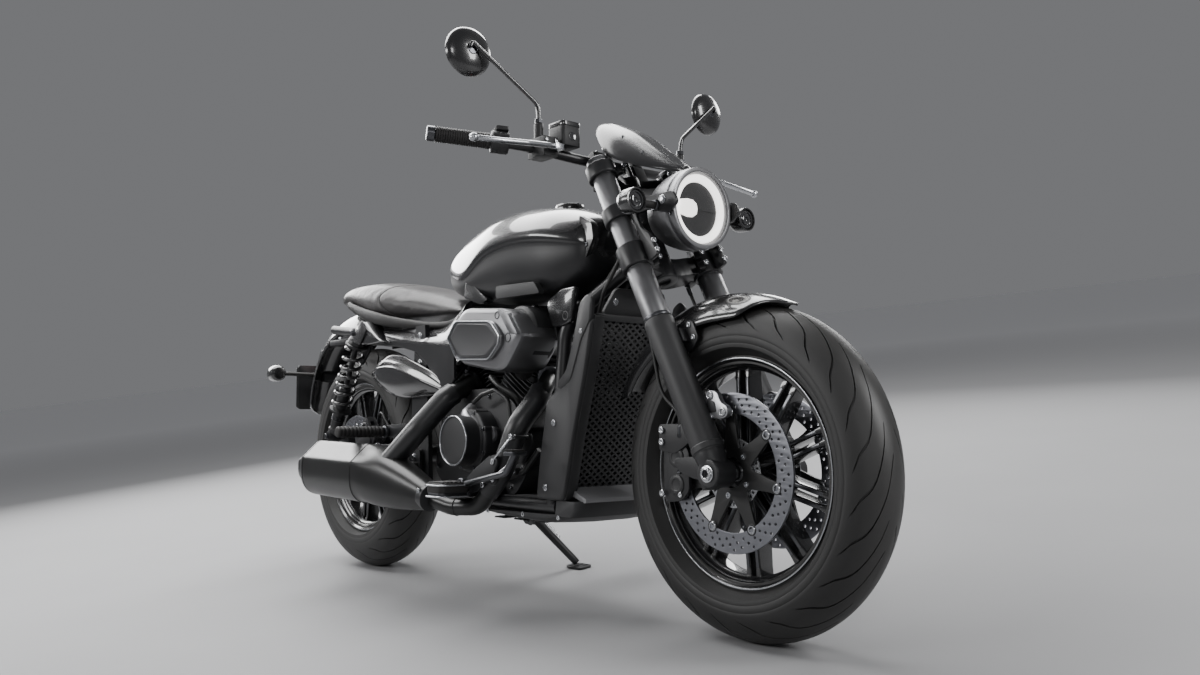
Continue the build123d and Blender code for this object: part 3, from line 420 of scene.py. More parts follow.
def piece(name, clay, finishes, body, replaces=(), bevel=0.0, smooth=0, angle=35, segments=2):
    """An object from clay. bevel is in millimetres, smooth is how often it is subdivided, and edges
    steeper than angle stay sharp."""
    finishes = finishes if isinstance(finishes, (list, tuple)) else [finishes]
    mesh = bpy.data.meshes.new(name)
    mesh.from_pydata([point / 1000 for point in clay.points], [], clay.faces)
    mesh.polygons.foreach_set("material_index", clay.finishes)
    for finish in finishes:
        mesh.materials.append(finish.material)
    shaped = bmesh.new()
    shaped.from_mesh(mesh)
    bmesh.ops.remove_doubles(shaped, verts=shaped.verts, dist=MERGE_NEARER)
    bmesh.ops.recalc_face_normals(shaped, faces=shaped.faces)
    shaped.to_mesh(mesh)
    shaped.free()
    made = bpy.data.objects.new(name, mesh)
    bpy.context.scene.collection.objects.link(made)
    if bevel:
        rounding = made.modifiers.new("edges", "BEVEL")
        rounding.width, rounding.segments = bevel / 1000, segments
        rounding.limit_method, rounding.angle_limit = "ANGLE", BEVEL_STEEPER
    if smooth:
        made.modifiers.new("smooth", "SUBSURF").levels = smooth
    if made.modifiers:
        made.data = evaluated_mesh(made)
        made.modifiers.clear()
    made.data.polygons.foreach_set("use_smooth", [True] * len(made.data.polygons))
    made.data.set_sharp_from_angle(angle=math.radians(angle))
    made.matrix_world = PARK
    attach(made, body)
    if replaces:
        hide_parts(*replaces)
    triangles[name] = sum(len(face.vertices) - 2 for face in made.data.polygons)
    return made


# %% Round shapes
def facing(axis, hint=None):
    """Three directions at right angles, the last along axis."""
    along = Vector(axis).normalized()
    hint = Vector(hint) if hint else (Vector((0, 0, 1)) if abs(along.z) < 0.9 else Vector((1, 0, 0)))
    across = hint.cross(along).normalized()
    return across, along.cross(across), along


def turns_of(steps):
    """The angles of so many even steps around a circle."""
    return [2 * math.pi * step / steps for step in range(steps)]


def circle(centre, axis, radius, steps):
    """A ring of points about an axis."""
    across, up, _ = facing(axis)
    return [Vector(centre) + (across * math.cos(turn) + up * math.sin(turn)) * radius
            for turn in turns_of(steps)]


def turned(centre, axis, profile, steps=48, finish=0, loop=False, caps=True):
    """A lathe: (radius, height) pairs spun about an axis. loop closes the profile on itself."""
    along = Vector(axis).normalized()
    rings = [circle(Vector(centre) + along * height, axis, max(radius, 0.01), steps)
             for radius, height in profile]
    return Clay().rings(rings, finish, loop=loop, caps=caps)


def curve(start, corner, end, steps):
    """Points on the curve that leaves start towards the corner and arrives at end from it."""
    made = []
    for step in range(steps + 1):
        share = step / steps
        toward, away = start * (1 - share) + corner * share, corner * (1 - share) + end * share
        made.append(toward * (1 - share) + away * share)
    return made


def rounded_path(corners, bends, steps=6):
    """Points along straight runs whose corners are rounded by a bend's radius."""
    corners = [Vector(corner) for corner in corners]
    bends = bends if isinstance(bends, (list, tuple)) else [bends] * (len(corners) - 2)
    path = [corners[0]]
    for before, corner, after, radius in zip(corners, corners[1:], corners[2:], bends):
        back, on = (before - corner).normalized(), (after - corner).normalized()
        half = back.angle(on) / 2
        reach = min(radius / math.tan(half), (before - corner).length * 0.48,
                    (after - corner).length * 0.48)
        path += curve(corner + back * reach, corner, corner + on * reach, steps)
    return path + [corners[-1]]


def tube(path, radius, steps=16):
    """A round bar along a path."""
    rings, hint = [], None
    for index, point in enumerate(path):
        heading = (path[min(index + 1, len(path) - 1)] - path[max(index - 1, 0)]).normalized()
        across, up, _ = facing(heading, hint)
        rings.append([point + (across * math.cos(turn) + up * math.sin(turn)) * radius
                      for turn in turns_of(steps)])
        hint = up
    return Clay().rings(rings)


def pipe(corners, bends, radius, steps, between=6):
    """A round bar along straight runs with rounded corners."""
    return tube(rounded_path(corners, bends, between), radius, steps)


def crank_pipe(points, bends, radius, steps, between=6):
    """A pipe through points measured from the crank's centre."""
    return pipe([crank_at(*point) for point in points], bends, radius, steps, between)


def bar(start, end, radius, steps=20, finish=0, chamfer=0.0):
    """A straight round bar, with its ends chamfered."""
    start, end = Vector(start), Vector(end)
    length = (end - start).length
    cut = min(chamfer, radius * 0.9, length / 2)
    profile = [(radius, cut), (radius, length - cut)]
    if cut:
        profile = [(radius - cut, 0)] + profile + [(radius - cut, length)]
    return turned(start, end - start, profile, steps, finish)


# %% Flat and domed shapes
def slab(outline, normal, depth, finish=0):
    """A flat outline of points pushed out along a direction."""
    push = Vector(normal).normalized() * depth
    points = [Vector(point) for point in outline]
    count = len(points)
    walls = [(step, (step + 1) % count, count + (step + 1) % count, count + step) for step in range(count)]
    return Clay().add(points + [point + push for point in points],
                      [tuple(reversed(range(count))), tuple(range(count, 2 * count))] + walls, finish)


def side_plate(origin, outline, y_from, y_to, radius=0.0, finish=0):
    """A flat piece outlined by (ahead, up) points from an origin, between two widths."""
    points = [origin + Vector((x, y_from, z)) for x, z in outline]
    if radius:
        points = softened(points, radius)
    return slab(points, (0, y_to - y_from, 0), abs(y_to - y_from), finish)


def crank_plate(outline, y_from, y_to, radius=0.0, finish=0):
    """A flat piece outlined from the crank's centre."""
    return side_plate(CRANK, outline, y_from, y_to, radius, finish)


def box(first, second):
    """A block between two opposite corners."""
    (x0, x1), (y0, y1), (z0, z1) = (sorted(pair) for pair in zip(first, second))
    return slab([(x0, y0, z0), (x1, y0, z0), (x1, y1, z0), (x0, y1, z0)], (0, 0, 1), z1 - z0)


def softened(outline, radius, steps=4):
    """A closed outline with its corners rounded off."""
    count = len(outline)
    made = []
    for index in range(count):
        before, corner, after = (Vector(outline[(index + k) % count]) for k in (-1, 0, 1))
        back, on = (before - corner), (after - corner)
        reach = min(radius, back.length * 0.45, on.length * 0.45)
        made += curve(corner + back.normalized() * reach, corner, corner + on.normalized() * reach, steps)
    return made


def outline_at(place, outline, y, radius):
    """A closed outline of (ahead, up) points from a place such as crank_at, with its corners rounded."""
    return softened([place(ahead, y, up) for ahead, up in outline], radius)


def dome(outline, normal, depth, levels):
    """A pillow over an outline: each level is a share of the depth and how far the outline shrinks."""
    points = [Vector(point) for point in outline]
    centre = sum(points, Vector()) / len(points)
    push = Vector(normal).normalized() * depth
    return Clay().rings([[centre + (point - centre) * shrink + push * share for point in points]
                         for share, shrink in levels])


def screw(place, axis, radius, height, kind="socket"):
    """A cap screw with its socket, or a hexagon head with its washer."""
    place, axis = Vector(place), Vector(axis).normalized()
    if kind == "socket":
        cap = ((1, 0), (1, 0.8), (0.88, 1), (0.55, 1), (0.5, 0.45))
        return turned(place, axis, [(radius * wide, height * high) for wide, high in cap], 14)
    washer = ((1.25, 0), (1.25, 0.25), (1.1, 0.3))
    made = turned(place, axis, [(radius * wide, height * high) for wide, high in washer], 16)
    head = ((0.3, 1.0), (0.85, 1.0), (1.0, 0.86))
    return made.join(Clay().rings([circle(place + axis * (height * share), axis, radius * size, 6)
                                   for share, size in head]))


def holed(name, outline, holes, thickness, edge=0.0):
    """A flat plate with holes in its own XY plane, in millimetres: clay through a filled 2-D curve."""
    drawn = bpy.data.curves.new(name, "CURVE")
    drawn.dimensions, drawn.fill_mode = "2D", "BOTH"
    drawn.extrude, drawn.bevel_depth = thickness / 2 - edge, edge
    for ring in [outline] + holes:
        line = drawn.splines.new("POLY")
        line.points.add(len(ring) - 1)
        for point, (x, y) in zip(line.points, ring):
            point.co = (x, y, 0, 1)
        line.use_cyclic_u = True
    holder = bpy.data.objects.new(name, drawn)
    mesh = bpy.data.meshes.new_from_object(holder)
    made = Clay().add([vertex.co for vertex in mesh.vertices],
                      [tuple(face.vertices) for face in mesh.polygons])
    bpy.data.objects.remove(holder)
    bpy.data.curves.remove(drawn)
    bpy.data.meshes.remove(mesh)
    return made


def onto(centre, x_axis, y_axis):
    """The matrix that lays an XY drawing on a plane through centre."""
    x_axis, y_axis = Vector(x_axis).normalized(), Vector(y_axis).normalized()
    normal = x_axis.cross(y_axis)
    return Matrix.Translation(centre) @ Matrix((x_axis, y_axis, normal)).transposed().to_4x4()


def polar(radius, degrees):
    """An (x, y) point so far out and so many degrees round."""
    turn = math.radians(degrees)
    return radius * math.cos(turn), radius * math.sin(turn)


def ring2(radius, steps, centre=(0, 0)):
    """A circle of (x, y) points."""
    return [(centre[0] + radius * math.cos(turn), centre[1] + radius * math.sin(turn))
            for turn in turns_of(steps)]


# %% [markdown]
# ## The camera, the floor and the lights
# The view is low and near the front wheel, looking back and up along the right side, so the front tyre
# fills the frame. The camera leans with the machine, like everything that was placed upright. A seamless
# pale floor and large soft lamps show black paint by its reflections. Far from the machine the floor is
# painted paler, as painted light where the lamps' light falls off, so that it meets the backdrop's tone.

# %% Camera
CAMERA_PLACE = Vector((2.84885, -1.52069, 0.41199))
YAW, PITCH, ROLL = math.radians(139.886), math.radians(4.776), math.radians(-0.420)
LENS, SENSOR = 31.253, 36

look = Vector((math.cos(PITCH) * math.cos(YAW), math.cos(PITCH) * math.sin(YAW), math.sin(PITCH)))
right = look.cross(Vector((0, 0, 1))).normalized()
above = right.cross(look)
level, tilt = math.cos(ROLL), math.sin(ROLL)
right, above = level * right + tilt * above, level * above - tilt * right
camera = bpy.data.objects.new("camera", bpy.data.cameras.new("camera"))
bpy.context.scene.collection.objects.link(camera)
camera.data.lens, camera.data.sensor_width = LENS, SENSOR
camera_turn = Matrix((right, above, -look)).transposed().to_4x4()
camera.matrix_world = PARK @ Matrix.Translation(CAMERA_PLACE) @ camera_turn
bpy.context.scene.camera = camera
print("camera at", tuple(round(v, 2) for v in camera.matrix_world.translation))

# %% Floor and lights
FLOOR_HALF, FLOOR_BELOW, PAINTED_LIGHT_OVER = 60.0, 0.0005, 12
floor_mesh = bpy.data.meshes.new("floor")
floor_corners = [(x * FLOOR_HALF, y * FLOOR_HALF, -FLOOR_BELOW)
                 for x, y in ((-1, -1), (1, -1), (1, 1), (-1, 1))]
floor_mesh.from_pydata(floor_corners, [], [(0, 1, 2, 3)])
floor_finish = Finish("pale_floor", Roughness=0.7, Specular_IOR_Level=0.1)
x, y, _ = floor_finish.axes()
# Painted light: the floor's colour grows paler from 1.2 to 12 metres out, towards 0.96, standing in for the
# lamp light that falls off far from the machine.
far = floor_finish.ramp((x * x + y * y) ** 0.5 / PAINTED_LIGHT_OVER, (0.1, 0.0), (1.0, 1.0))
floor_tone = floor_finish.mix(floor_finish.noise(0.6, 4), (0.27, 0.27, 0.275), (0.31, 0.31, 0.315))
floor_finish.set(Base_Color=floor_finish.mix(far, floor_tone, (0.96, 0.96, 0.97)))
floor_mesh.materials.append(floor_finish.material)
floor = bpy.data.objects.new("floor", floor_mesh)
bpy.context.scene.collection.objects.link(floor)

world = bpy.data.worlds.new("studio")
bpy.context.scene.world = world
world.use_nodes = True
background = world.node_tree.nodes["Background"]
background.inputs["Color"].default_value = (0.74, 0.75, 0.78, 1)
background.inputs["Strength"].default_value = 0.24


def soft_lamp(name, place, target, size, power):
    """A large white area lamp that faces a target."""
    lamp = bpy.data.lights.new(name, "AREA")
    lamp.shape, lamp.size, lamp.size_y = "RECTANGLE", size[0], size[1]
    lamp.energy = power
    holder = bpy.data.objects.new(name, lamp)
    bpy.context.scene.collection.objects.link(holder)
    holder.location = place
    holder.rotation_euler = (Vector(target) - Vector(place)).to_track_quat("-Z", "Y").to_euler()


soft_lamp("overhead", (-0.9, 0.1, 2.5), (-0.2, 0, 0.5), (3.0, 1.5), 150)
soft_lamp("behind", (-3.8, 0.1, 2.2), (0, 0, 0.5), (2.6, 1.5), 150)
soft_lamp("front_left", (3.7, 1.2, 2.1), (0.8, 0, 0.6), (0.8, 1.8), 85)
soft_lamp("front_right", (3.8, -3.0, 2.4), (0.4, 0, 0.5), (1.4, 1.0), 40)
soft_lamp("right_side", (-1.6, -3.6, 2.2), (-0.1, 0, 0.5), (2.6, 0.7), 80)
soft_lamp("left_side", (-0.6, 3.6, 2.2), (0, 0, 0.6), (2.4, 0.8), 60)

# %% [markdown]
# ## Finishes on the CAD pieces
# Pieces whose CAD shape is already right only need a finish. The rest get one too, and are replaced by
# detailed pieces further on.

# %% A finish for each CAD node
cad_finishes = {
    gloss_black: "fuel_tank front_fender rear_fender side_panels front_rim rear_rim",
    gloss_plastic: "battery_covers headlight rear_lamps front_signals dial mirrors",
    screen_plastic: "flyscreen",
    engine_black: "engine_case cylinders clutch_cover generator_cover",
    gunmetal: "air_cleaner fork_tubes lower_clamp upper_clamp",
    guard_grey: "fork_guards",
    frame_black: "backbone down_tubes lower_rails pivot_plates seat_rails swingarm_arms "
                 "swingarm_bridge side_stand",
    satin_black: "lamp_brackets handlebar bar_risers shocks front_calipers rear_caliper",
    exhaust_black: "exhaust_headers muffler",
    front_disc_steel: "front_discs", rear_disc_steel: "rear_disc",
    dark_metal: "front_axle rear_axle rear_pulley levers rider_pegs passenger_pegs foot_pedals "
                "shock_springs",
    machined_and_highlights: "fuel_cap radiator",
    dark_plastic: "radiator_shroud belly_pan plate_bracket control_pods",
    rubber: "grips drive_belt", hose_rubber: "brake_hoses",
    tyre_black: "front_tyre rear_tyre", leather: "seat",
}
nodes = frame["nodes"]
for finish, names in cad_finishes.items():
    for name in names.split():
        if name in nodes:
            nodes[name].data.materials.clear()
            nodes[name].data.materials.append(finish.material)
print("bare CAD nodes:", [name for name, node in nodes.items() if not node.data.materials])

# %% [markdown]
# ## Tyres
# The tread's grooves sweep back from the crown. Rather than cut them, we let every column of the mesh
# follow a groove's own curve, so that four columns pressed inwards make one clean groove. Left and
# right are half a pitch apart, like most road tyres, and every other groove starts further out.

# %% Tyres with swept grooves
SWEEP = ((0, 26), (8, 21), (12, 18), (20, 10.5), (28, 5), (36, 0), (45, -4), (60, -7.5),
         (75, -15), (105, -22))
GROOVE_DEPTH, GROOVE_END = 4.5, 72
TILTS = (3, 6, 8, 10, 13, 16, 19, 22, 26, 31, 37, 43, 49, 55, 61, 66, 70, 73, 76, 80, 84, 86, 88, 92,
         96, 98, 100, 105)


def around(axle, radius, degrees, y):
    """A point so many degrees round an axle."""
    turn = math.radians(degrees)
    return axle + Vector((radius * math.cos(turn), y, radius * math.sin(turn)))


def tyre(name, axle, radius, width, rim_width, grooves, body, node):
    """A tyre whose columns of points follow its grooves."""
    crown, bead = width / 2, rim_width / 2 - 5
    hub, pitch = radius - crown, 360 / grooves
    half = math.degrees(2.3 / radius)
    inside = [share * pitch for share in (0.13, 0.25, 0.38, 0.5, 0.62, 0.75, 0.87)]
    offsets = [(-half * 1.5, 0), (-half, 1), (half, 1), (half * 1.5, 0)]
    offsets += [(offset, 0) for offset in inside]
    tilts = [-tilt for tilt in reversed(TILTS)] + [0] + list(TILTS)
    rings = []
    for groove in range(grooves):
        for offset, cut in offsets:
            ring = [(221.5, -bead), (206.5, -bead), (206.5, bead), (221.5, bead)]
            column = []
            for tilt in tilts:
                side = (tilt + 6) / 12 if abs(tilt) < 6 else (tilt > 0)
                turn = groove * pitch + offset + np.interp(abs(tilt), *zip(*SWEEP)) + side * pitch / 2
                start = 6.5 if groove % 2 else 14
                into, out_of = (abs(tilt) - start) / 3, (GROOVE_END - abs(tilt)) / 6
                depth = GROOVE_DEPTH * cut * min(1, max(0, into)) * min(1, max(0, out_of))
                depth += 0.8 * (abs(tilt) in (86, 98))
                lean = math.radians(tilt)
                column.append((turn, hub + (crown - depth) * math.cos(lean),
                               (crown - depth) * math.sin(lean)))
            column += [(column[-1][0], r, y) for r, y in reversed(ring[2:])]
            column += [(column[0][0], r, y) for r, y in reversed(ring[:2])]
            rings.append([around(axle, r, turn, y) for turn, r, y in column])
    piece(name, Clay().rings(rings, loop=True), tyre_black, body, [node], angle=28)


tyre("front_tyre_treaded", FRONT_AXLE, FRONT_RADIUS, 133, 86, 24, "front_wheel", "front_tyre")
tyre("rear_tyre_treaded", REAR_AXLE, REAR_RADIUS, 148, 100, 24, "rear_wheel", "rear_tyre")
print("tyre triangles:", triangles["front_tyre_treaded"])

# %% [markdown]
# ## Rims
# The barrel is turned from one profile, with stepped rings that catch thin lines of light. Ten pairs of
# narrow spokes join it to the hub, and only their outer faces are machined bare. A thin ring of bright
# metal on each side of the rim's lip is a painted highlight for the line of light along the lip.

# %% Rims with paired spokes
PAIRS, SPOKE_WIDE, BETWEEN_SPOKES = 10, 10.5, 24


def spoke(axle, turn, shift, inner, outer, deep_hub, deep_rim):
    """One straight spoke beside its pair's middle line, and its bare outer faces."""
    out = Vector((math.cos(turn), 0, math.sin(turn)))
    across = Vector((-math.sin(turn), 0, math.cos(turn)))
    rings = []
    for share, flare in ((0, 1.5), (0.12, 1.05), (0.5, 0.9), (0.88, 1.0), (1, 1.35)):
        reach = inner + (outer - inner) * share
        deep = deep_hub + (deep_rim - deep_hub) * share
        half = SPOKE_WIDE / 2 * flare
        section = [(-half, -deep + 3), (-half + 2, -deep), (half - 2, -deep), (half, -deep + 3),
                   (half, deep - 3), (half - 2, deep), (-half + 2, deep), (-half, deep - 3)]
        rings.append([axle + out * reach + across * (shift + a) + LEFT * b for a, b in section])
    body = Clay().rings(rings)
    for side in SIDES:
        strip = []
        for share, flare in ((0.1, 1.0), (0.5, 0.9), (0.9, 1.0)):
            reach = inner + (outer - inner) * share
            deep = side * (deep_hub + (deep_rim - deep_hub) * share)
            half = SPOKE_WIDE / 2 * flare - 2
            strip.append([axle + out * reach + across * (shift + a) + LEFT * (deep + side * b)
                          for a, b in ((-half, -0.5), (-half, 0.15), (half, 0.15), (half, -0.5))])
        body.join(Clay().rings(strip), 2)
    return body


def rim(name, axle, half, hub_half, body, node, phase):
    """A cast rim with its hub and its pairs of spokes."""
    lip, seat, well = 218.5, 206.0, 196.0
    side = [(seat, half - 8), (lip - 5, half - 5.5), (lip, half - 4), (lip, half - 0.6), (lip - 1, half),
            (lip - 4, half), (lip - 5.5, half - 2), (lip - 9, half - 6), (lip - 11, half - 6.5),
            (lip - 11.6, half - 10), (204, half - 14), (202.5, half - 14.6), (202, half - 19),
            (197, half - 25), (well - 1.5, half - 26), (well - 2, half - 31)]
    profile = side + [(r, -y) for r, y in reversed(side)]
    clay = turned(axle, LEFT, profile, 128, loop=True)
    # The thin bright metal rings on the lip (finish 1) are painted highlights along its edge.
    for sign in SIDES:
        edge = [(lip - 3.6, half - 1), (lip - 3.4, half + 0.1), (lip - 0.8, half + 0.1),
                (lip + 0.1, half - 1)]
        clay.join(turned(axle, LEFT, [(r, sign * y) for r, y in edge], 128, loop=True), 1)
    hub = [(10.5, -hub_half), (30, -hub_half), (33, -hub_half + 2), (33, -hub_half + 6),
           (44, -hub_half + 9), (47, -hub_half + 12), (47, -hub_half + 17), (40, -26), (38, -12), (38, 12),
           (40, 26), (47, hub_half - 17), (47, hub_half - 12), (44, hub_half - 9), (33, hub_half - 6),
           (33, hub_half - 2), (30, hub_half), (10.5, hub_half)]
    clay.join(turned(axle, LEFT, hub, 48, loop=True))
    for pair in range(PAIRS):
        turn = math.radians(phase + pair * 360 / PAIRS)
        for shift in (-BETWEEN_SPOKES / 2, BETWEEN_SPOKES / 2):
            clay.join(spoke(axle, turn, shift, 34, well, 27, 19))
    piece(name, clay, [gloss_black, machined_and_highlights, shaded_alloy], body, [node], bevel=0.6, angle=30)


rim("front_rim_cast", FRONT_AXLE, 43, 57, "front_wheel", "front_rim", -15)
rim("rear_rim_cast", REAR_AXLE, 50, 60, "rear_wheel", "rear_rim", 5)
print("rim triangles:", triangles["front_rim_cast"])

# %% [markdown]
# ## Brake discs
# Each disc is a band drilled with rows of small holes. A black star with seven arms carries it through
# seven bright bobbins, ringed by black washers, that let the band float.

# %% Drilled discs, their stars and bobbins
ARMS, BOLTS, SLOTS = 7, 5, 40
HOLE_ROWS, HOLE_RADIUS = 36, 3.3
BOBBIN = [(7, 0), (8.6, 1), (8.6, 8.6), (7.8, 9.3), (5.4, 9.3), (5, 8.2), (5, 0)]
WASHER = [(9.6, 2), (11.2, 2), (11.2, 8), (9.6, 8.4)]


def disc(name, axle, radius, band, hub_end, sides, body, node, finish, phase):
    """A drilled band, its carrier star, a slotted speed ring and the bobbins and bolts, for each side."""
    clay = Clay()
    inner = radius - band
    for side in sides:
        holes = []
        for row in range(HOLE_ROWS):
            for mark in (0.14, 0.44, 0.74) if row % 2 else (0.28, 0.58, 0.88):
                spot = polar(inner + 3 + mark * (band - 6), row * 360 / HOLE_ROWS + mark * 14)
                holes.append(ring2(HOLE_RADIUS, 10, spot))
        laid = onto(axle + LEFT * side * (hub_end + 7), (1, 0, 0), (0, 0, 1))
        clay.join(holed("band", ring2(radius, 120), [ring2(inner, 120)] + holes, 4.8, 0.5).moved(laid))
        star = []
        for arm in range(ARMS):
            middle = phase + arm * 360 / ARMS
            star += [polar(reach, middle + turn) for reach, turn in (
                (50, -21), (inner - 30, -9), (inner - 12, -6), (inner - 1, -5.5),
                (inner - 1, 5.5), (inner - 12, 6), (inner - 30, 9), (50, 21))]
        windows = [ring2(5.5, 12, polar(43, phase + 26 + bolt * 72)) for bolt in range(BOLTS)]
        laid = onto(axle + LEFT * side * (hub_end + 4.6), (1, 0, 0), (0, 0, 1))
        clay.join(holed("star", star, [ring2(30, 40)] + windows, 6, 0.8).moved(laid), 1)
        slots = []
        for slot in range(SLOTS):
            c, s = polar(1, slot * 360 / SLOTS)
            slots.append([(59 * c + a * c - b * s, 59 * s + a * s + b * c)
                          for a, b in ((-3.5, -2), (3.5, -2), (3.5, 2), (-3.5, 2))])
        laid = onto(axle + LEFT * side * (hub_end + 0.6), (1, 0, 0), (0, 0, 1))
        clay.join(holed("speed_ring", ring2(66, 80), [ring2(50, 60)] + slots, 2, 0).moved(laid), 2)
        for arm in range(ARMS):
            spot = around(axle, inner + 1.5, phase + arm * 360 / ARMS, side * (hub_end + 1.8))
            clay.join(turned(spot, LEFT * side, BOBBIN, 20, loop=True), 2)
            clay.join(bar(spot, spot + LEFT * side * 7, 4.9, 12), 1)
            clay.join(turned(spot, LEFT * side, WASHER, 24, loop=True), 1)
        for bolt in range(BOLTS):
            spot = around(axle, 43, phase + 26 + bolt * 72, side * (hub_end + 0.5))
            clay.join(screw(spot, LEFT * side, 6.4, 9.5), 2)
    piece(name, clay, [finish, carrier_black, bright_screw], body, [node], angle=30)


disc("front_discs_drilled", FRONT_AXLE, 150, 38, 57, SIDES, "front_wheel", "front_discs",
     front_disc_steel, 90)
disc("rear_disc_drilled", REAR_AXLE, 120, 34, 60, (-1,), "rear_wheel", "rear_disc", rear_disc_steel, 90)
print("disc triangles:", triangles["front_discs_drilled"])

# %% [markdown]
# ## Front legs
# The legs are turned: a bare tube, a seal and a wider lower half inside a matt guard. A cast foot grips
# the axle and carries the caliper. The calipers are two bolted halves with round piston housings.

# %% Fork tubes, guards and feet
def leg_spin(y, profile, steps=40, finish=0, loop=False, u=0.0):
    """A lathe about a fork leg: (radius, place up the leg) pairs."""
    return turned(fork_at(u, y, 0), UP_LEG, profile, steps, finish, loop)


def leg_box(across, wide, along):
    """A block in the leg's own directions."""
    (u0, u1), (y0, y1), (low, high) = across, wide, along
    outline = [fork_at(u, y, low) for u, y in ((u0, y0), (u1, y0), (u1, y1), (u0, y1))]
    return slab(outline, UP_LEG, high - low)


tubes, guards, feet = Clay(), Clay(), Clay()
for side in SIDES:
    y = side * FORK_Y
    tubes.join(leg_spin(y, [(21.5, 40), (21.5, 300), (27, 300.5), (27, 452), (25, 456), (25, 735),
                            (24, 738), (20, 740)]))
    tubes.join(leg_spin(y, [(19, 739), (19, 742), (17.5, 743)], 6), 1)
    tubes.join(leg_spin(y, [(27.2, 334), (29, 335), (29, 341), (27.2, 343)]), 1)
    guards.join(leg_spin(y, [(28.2, 42), (30.1, 42), (30.5, 46), (30.5, 316), (30.3, 330), (29.4, 333),
                             (28.2, 333)], 56, loop=True))
    guards.join(leg_spin(y, [(30.6, 44), (32, 46), (32, 56), (30.6, 58)], 56, 0))
    collar = [(13, 0), (25, 0), (27, 2), (27, 50), (25, 52), (13, 52)]
    feet.join(turned(FRONT_AXLE + LEFT * (y - 26), LEFT, collar, 40, loop=True))
    feet.join(leg_spin(y, [(20, -10), (24, 8), (28, 26), (29.5, 36), (29.5, 44), (27, 46)], 40))
    feet.join(leg_box((-30, -8), (y - 20, y + 20), (-20, 12)))
    lug = [(-16, 20), (-60, 30), (-118, 26), (-122, 14), (-100, -4), (-60, -14), (-20, -16)]
    arm = softened([FRONT_AXLE + Vector((x, side * 84.5, z)) for x, z in lug], 8)
    feet.join(slab(arm, (0, side, 0), 12))
    for height in (-12, 4):
        feet.join(screw(fork_at(-31, y + side * 8, height), -AHEAD_LEG, 5, 5), 1)
piece("fork_tubes_turned", tubes, [gunmetal, dark_metal], "steering", ["fork_tubes"], bevel=0.5)
piece("fork_guards_matt", guards, guard_grey, "steering", ["fork_guards"], angle=30)
piece("fork_feet", feet, [engine_black, bright_screw], "steering", bevel=1.5)

# %% Front axle and calipers
axle = turned(FRONT_AXLE, LEFT, [(8, -136), (9, -136.5), (10, -135), (10, 135), (9, 136.5), (8, 136)],
              32, loop=True)
for side in SIDES:
    axle.join(turned(FRONT_AXLE, LEFT * side, [(10, 57.5), (15, 58), (15, 75), (10, 75.5)], 28, loop=True))
    axle.join(turned(FRONT_AXLE, LEFT * side, [(8.4, 129), (16, 129.4), (16, 131.5), (8.4, 132)],
                     32, loop=True))
    axle.join(turned(FRONT_AXLE, LEFT * side, [(8.4, 131), (14, 131), (14, 135), (12.5, 136), (8.4, 136)],
                     6, loop=True))
piece("front_axle_bright", axle, bright_screw, "steering", ["front_axle"], bevel=0.5)


def caliper(axle, back, front, low, high, inner, outer, rows, side):
    """Two bolted halves about a disc, with piston housings on the outer one."""
    outline = [(back + 10, low), (front - 22, low + 4), (front, low + 24), (front + 1, high - 24),
               (front - 20, high - 2), (back + 12, high), (back, high - 18), (back + 4, 0),
               (back, low + 18)]
    soft = softened([(x, 0, z) for x, z in outline], 9)
    ring = [axle + Vector((point.x, 0, point.z)) for point in soft]
    middle = (inner + outer) / 2
    clay = Clay()
    outer_half = [point + LEFT * side * (middle + 6.5) for point in ring]
    clay.join(slab(outer_half, (0, side, 0), outer - middle - 11))
    clay.join(slab([point + LEFT * side * inner for point in ring], (0, side, 0), middle - 7 - inner))
    for place in (low + 14, (low + high) / 2, high - 14):
        post = axle + Vector((back + 3, side * inner, place - 9))
        clay.join(box(post, post + Vector((17, side * (outer - inner - 5), 18))))
    for place in rows:
        spot = axle + Vector(((back + front) / 2 + 2, side * (outer - 6), place))
        clay.join(turned(spot, LEFT * side, [(21, 0), (20, 3.5), (16, 5), (12, 5), (11, 3.6)], 28))
    return clay


calipers = Clay()
for side in SIDES:
    calipers.join(caliper(FRONT_AXLE, -168, -98, -62, 62, 45, 84, (-27, 27), side))
    for z in (-48, 48):
        calipers.join(screw(FRONT_AXLE + Vector((-163, side * 74, z)), (-1, 0, 0), 6, 5), 1)
        calipers.join(screw(FRONT_AXLE + Vector((-120, side * 79, z * 0.96)), (0, side, 0), 5.5, 4.5), 1)
    calipers.join(screw(FRONT_AXLE + Vector((-122, side * 79, 0)), (0, side, 0), 5, 4.5), 2)
    for z in (-44, 57, 80):
        calipers.join(screw(FRONT_AXLE + Vector((-166, side * 84, z)), (0, side, 0), 7, 5), 1)
    calipers.join(side_plate(FRONT_AXLE, [(-176, 40), (-176, 92), (-84, 92), (-84, 60), (-130, 34)],
                             side * 70, side * 84, 8))
    stay = [(-46, 92), (-44, 140), (-30, 156), (-8, 152), (0, 132), (18, 124), (18, 106),
            (0, 100), (-20, 104)]
    calipers.join(side_plate(FRONT_AXLE, stay, side * 80, side * 92, 8), 3)
    calipers.join(side_plate(FRONT_AXLE, [(-36, 112), (-33, 138), (-14, 134), (-10, 114)], side * 91,
                             side * 93.5, 4), 0)
    for x, z in ((-26, 146), (6, 114), (-28, 104)):
        spot = FRONT_AXLE + Vector((x, side * 92, z))
        washer = [(4.6, 0), (8.4, 0), (8.4, 2.4), (7.4, 3.2), (5.4, 3.2), (4.6, 2)]
        calipers.join(turned(spot, LEFT * side, washer, 24, loop=True), 1)
piece("front_calipers_cast", calipers, [engine_black, bright_screw, dark_metal, cast_alloy], "steering",
      ["front_calipers"], bevel=1.2)


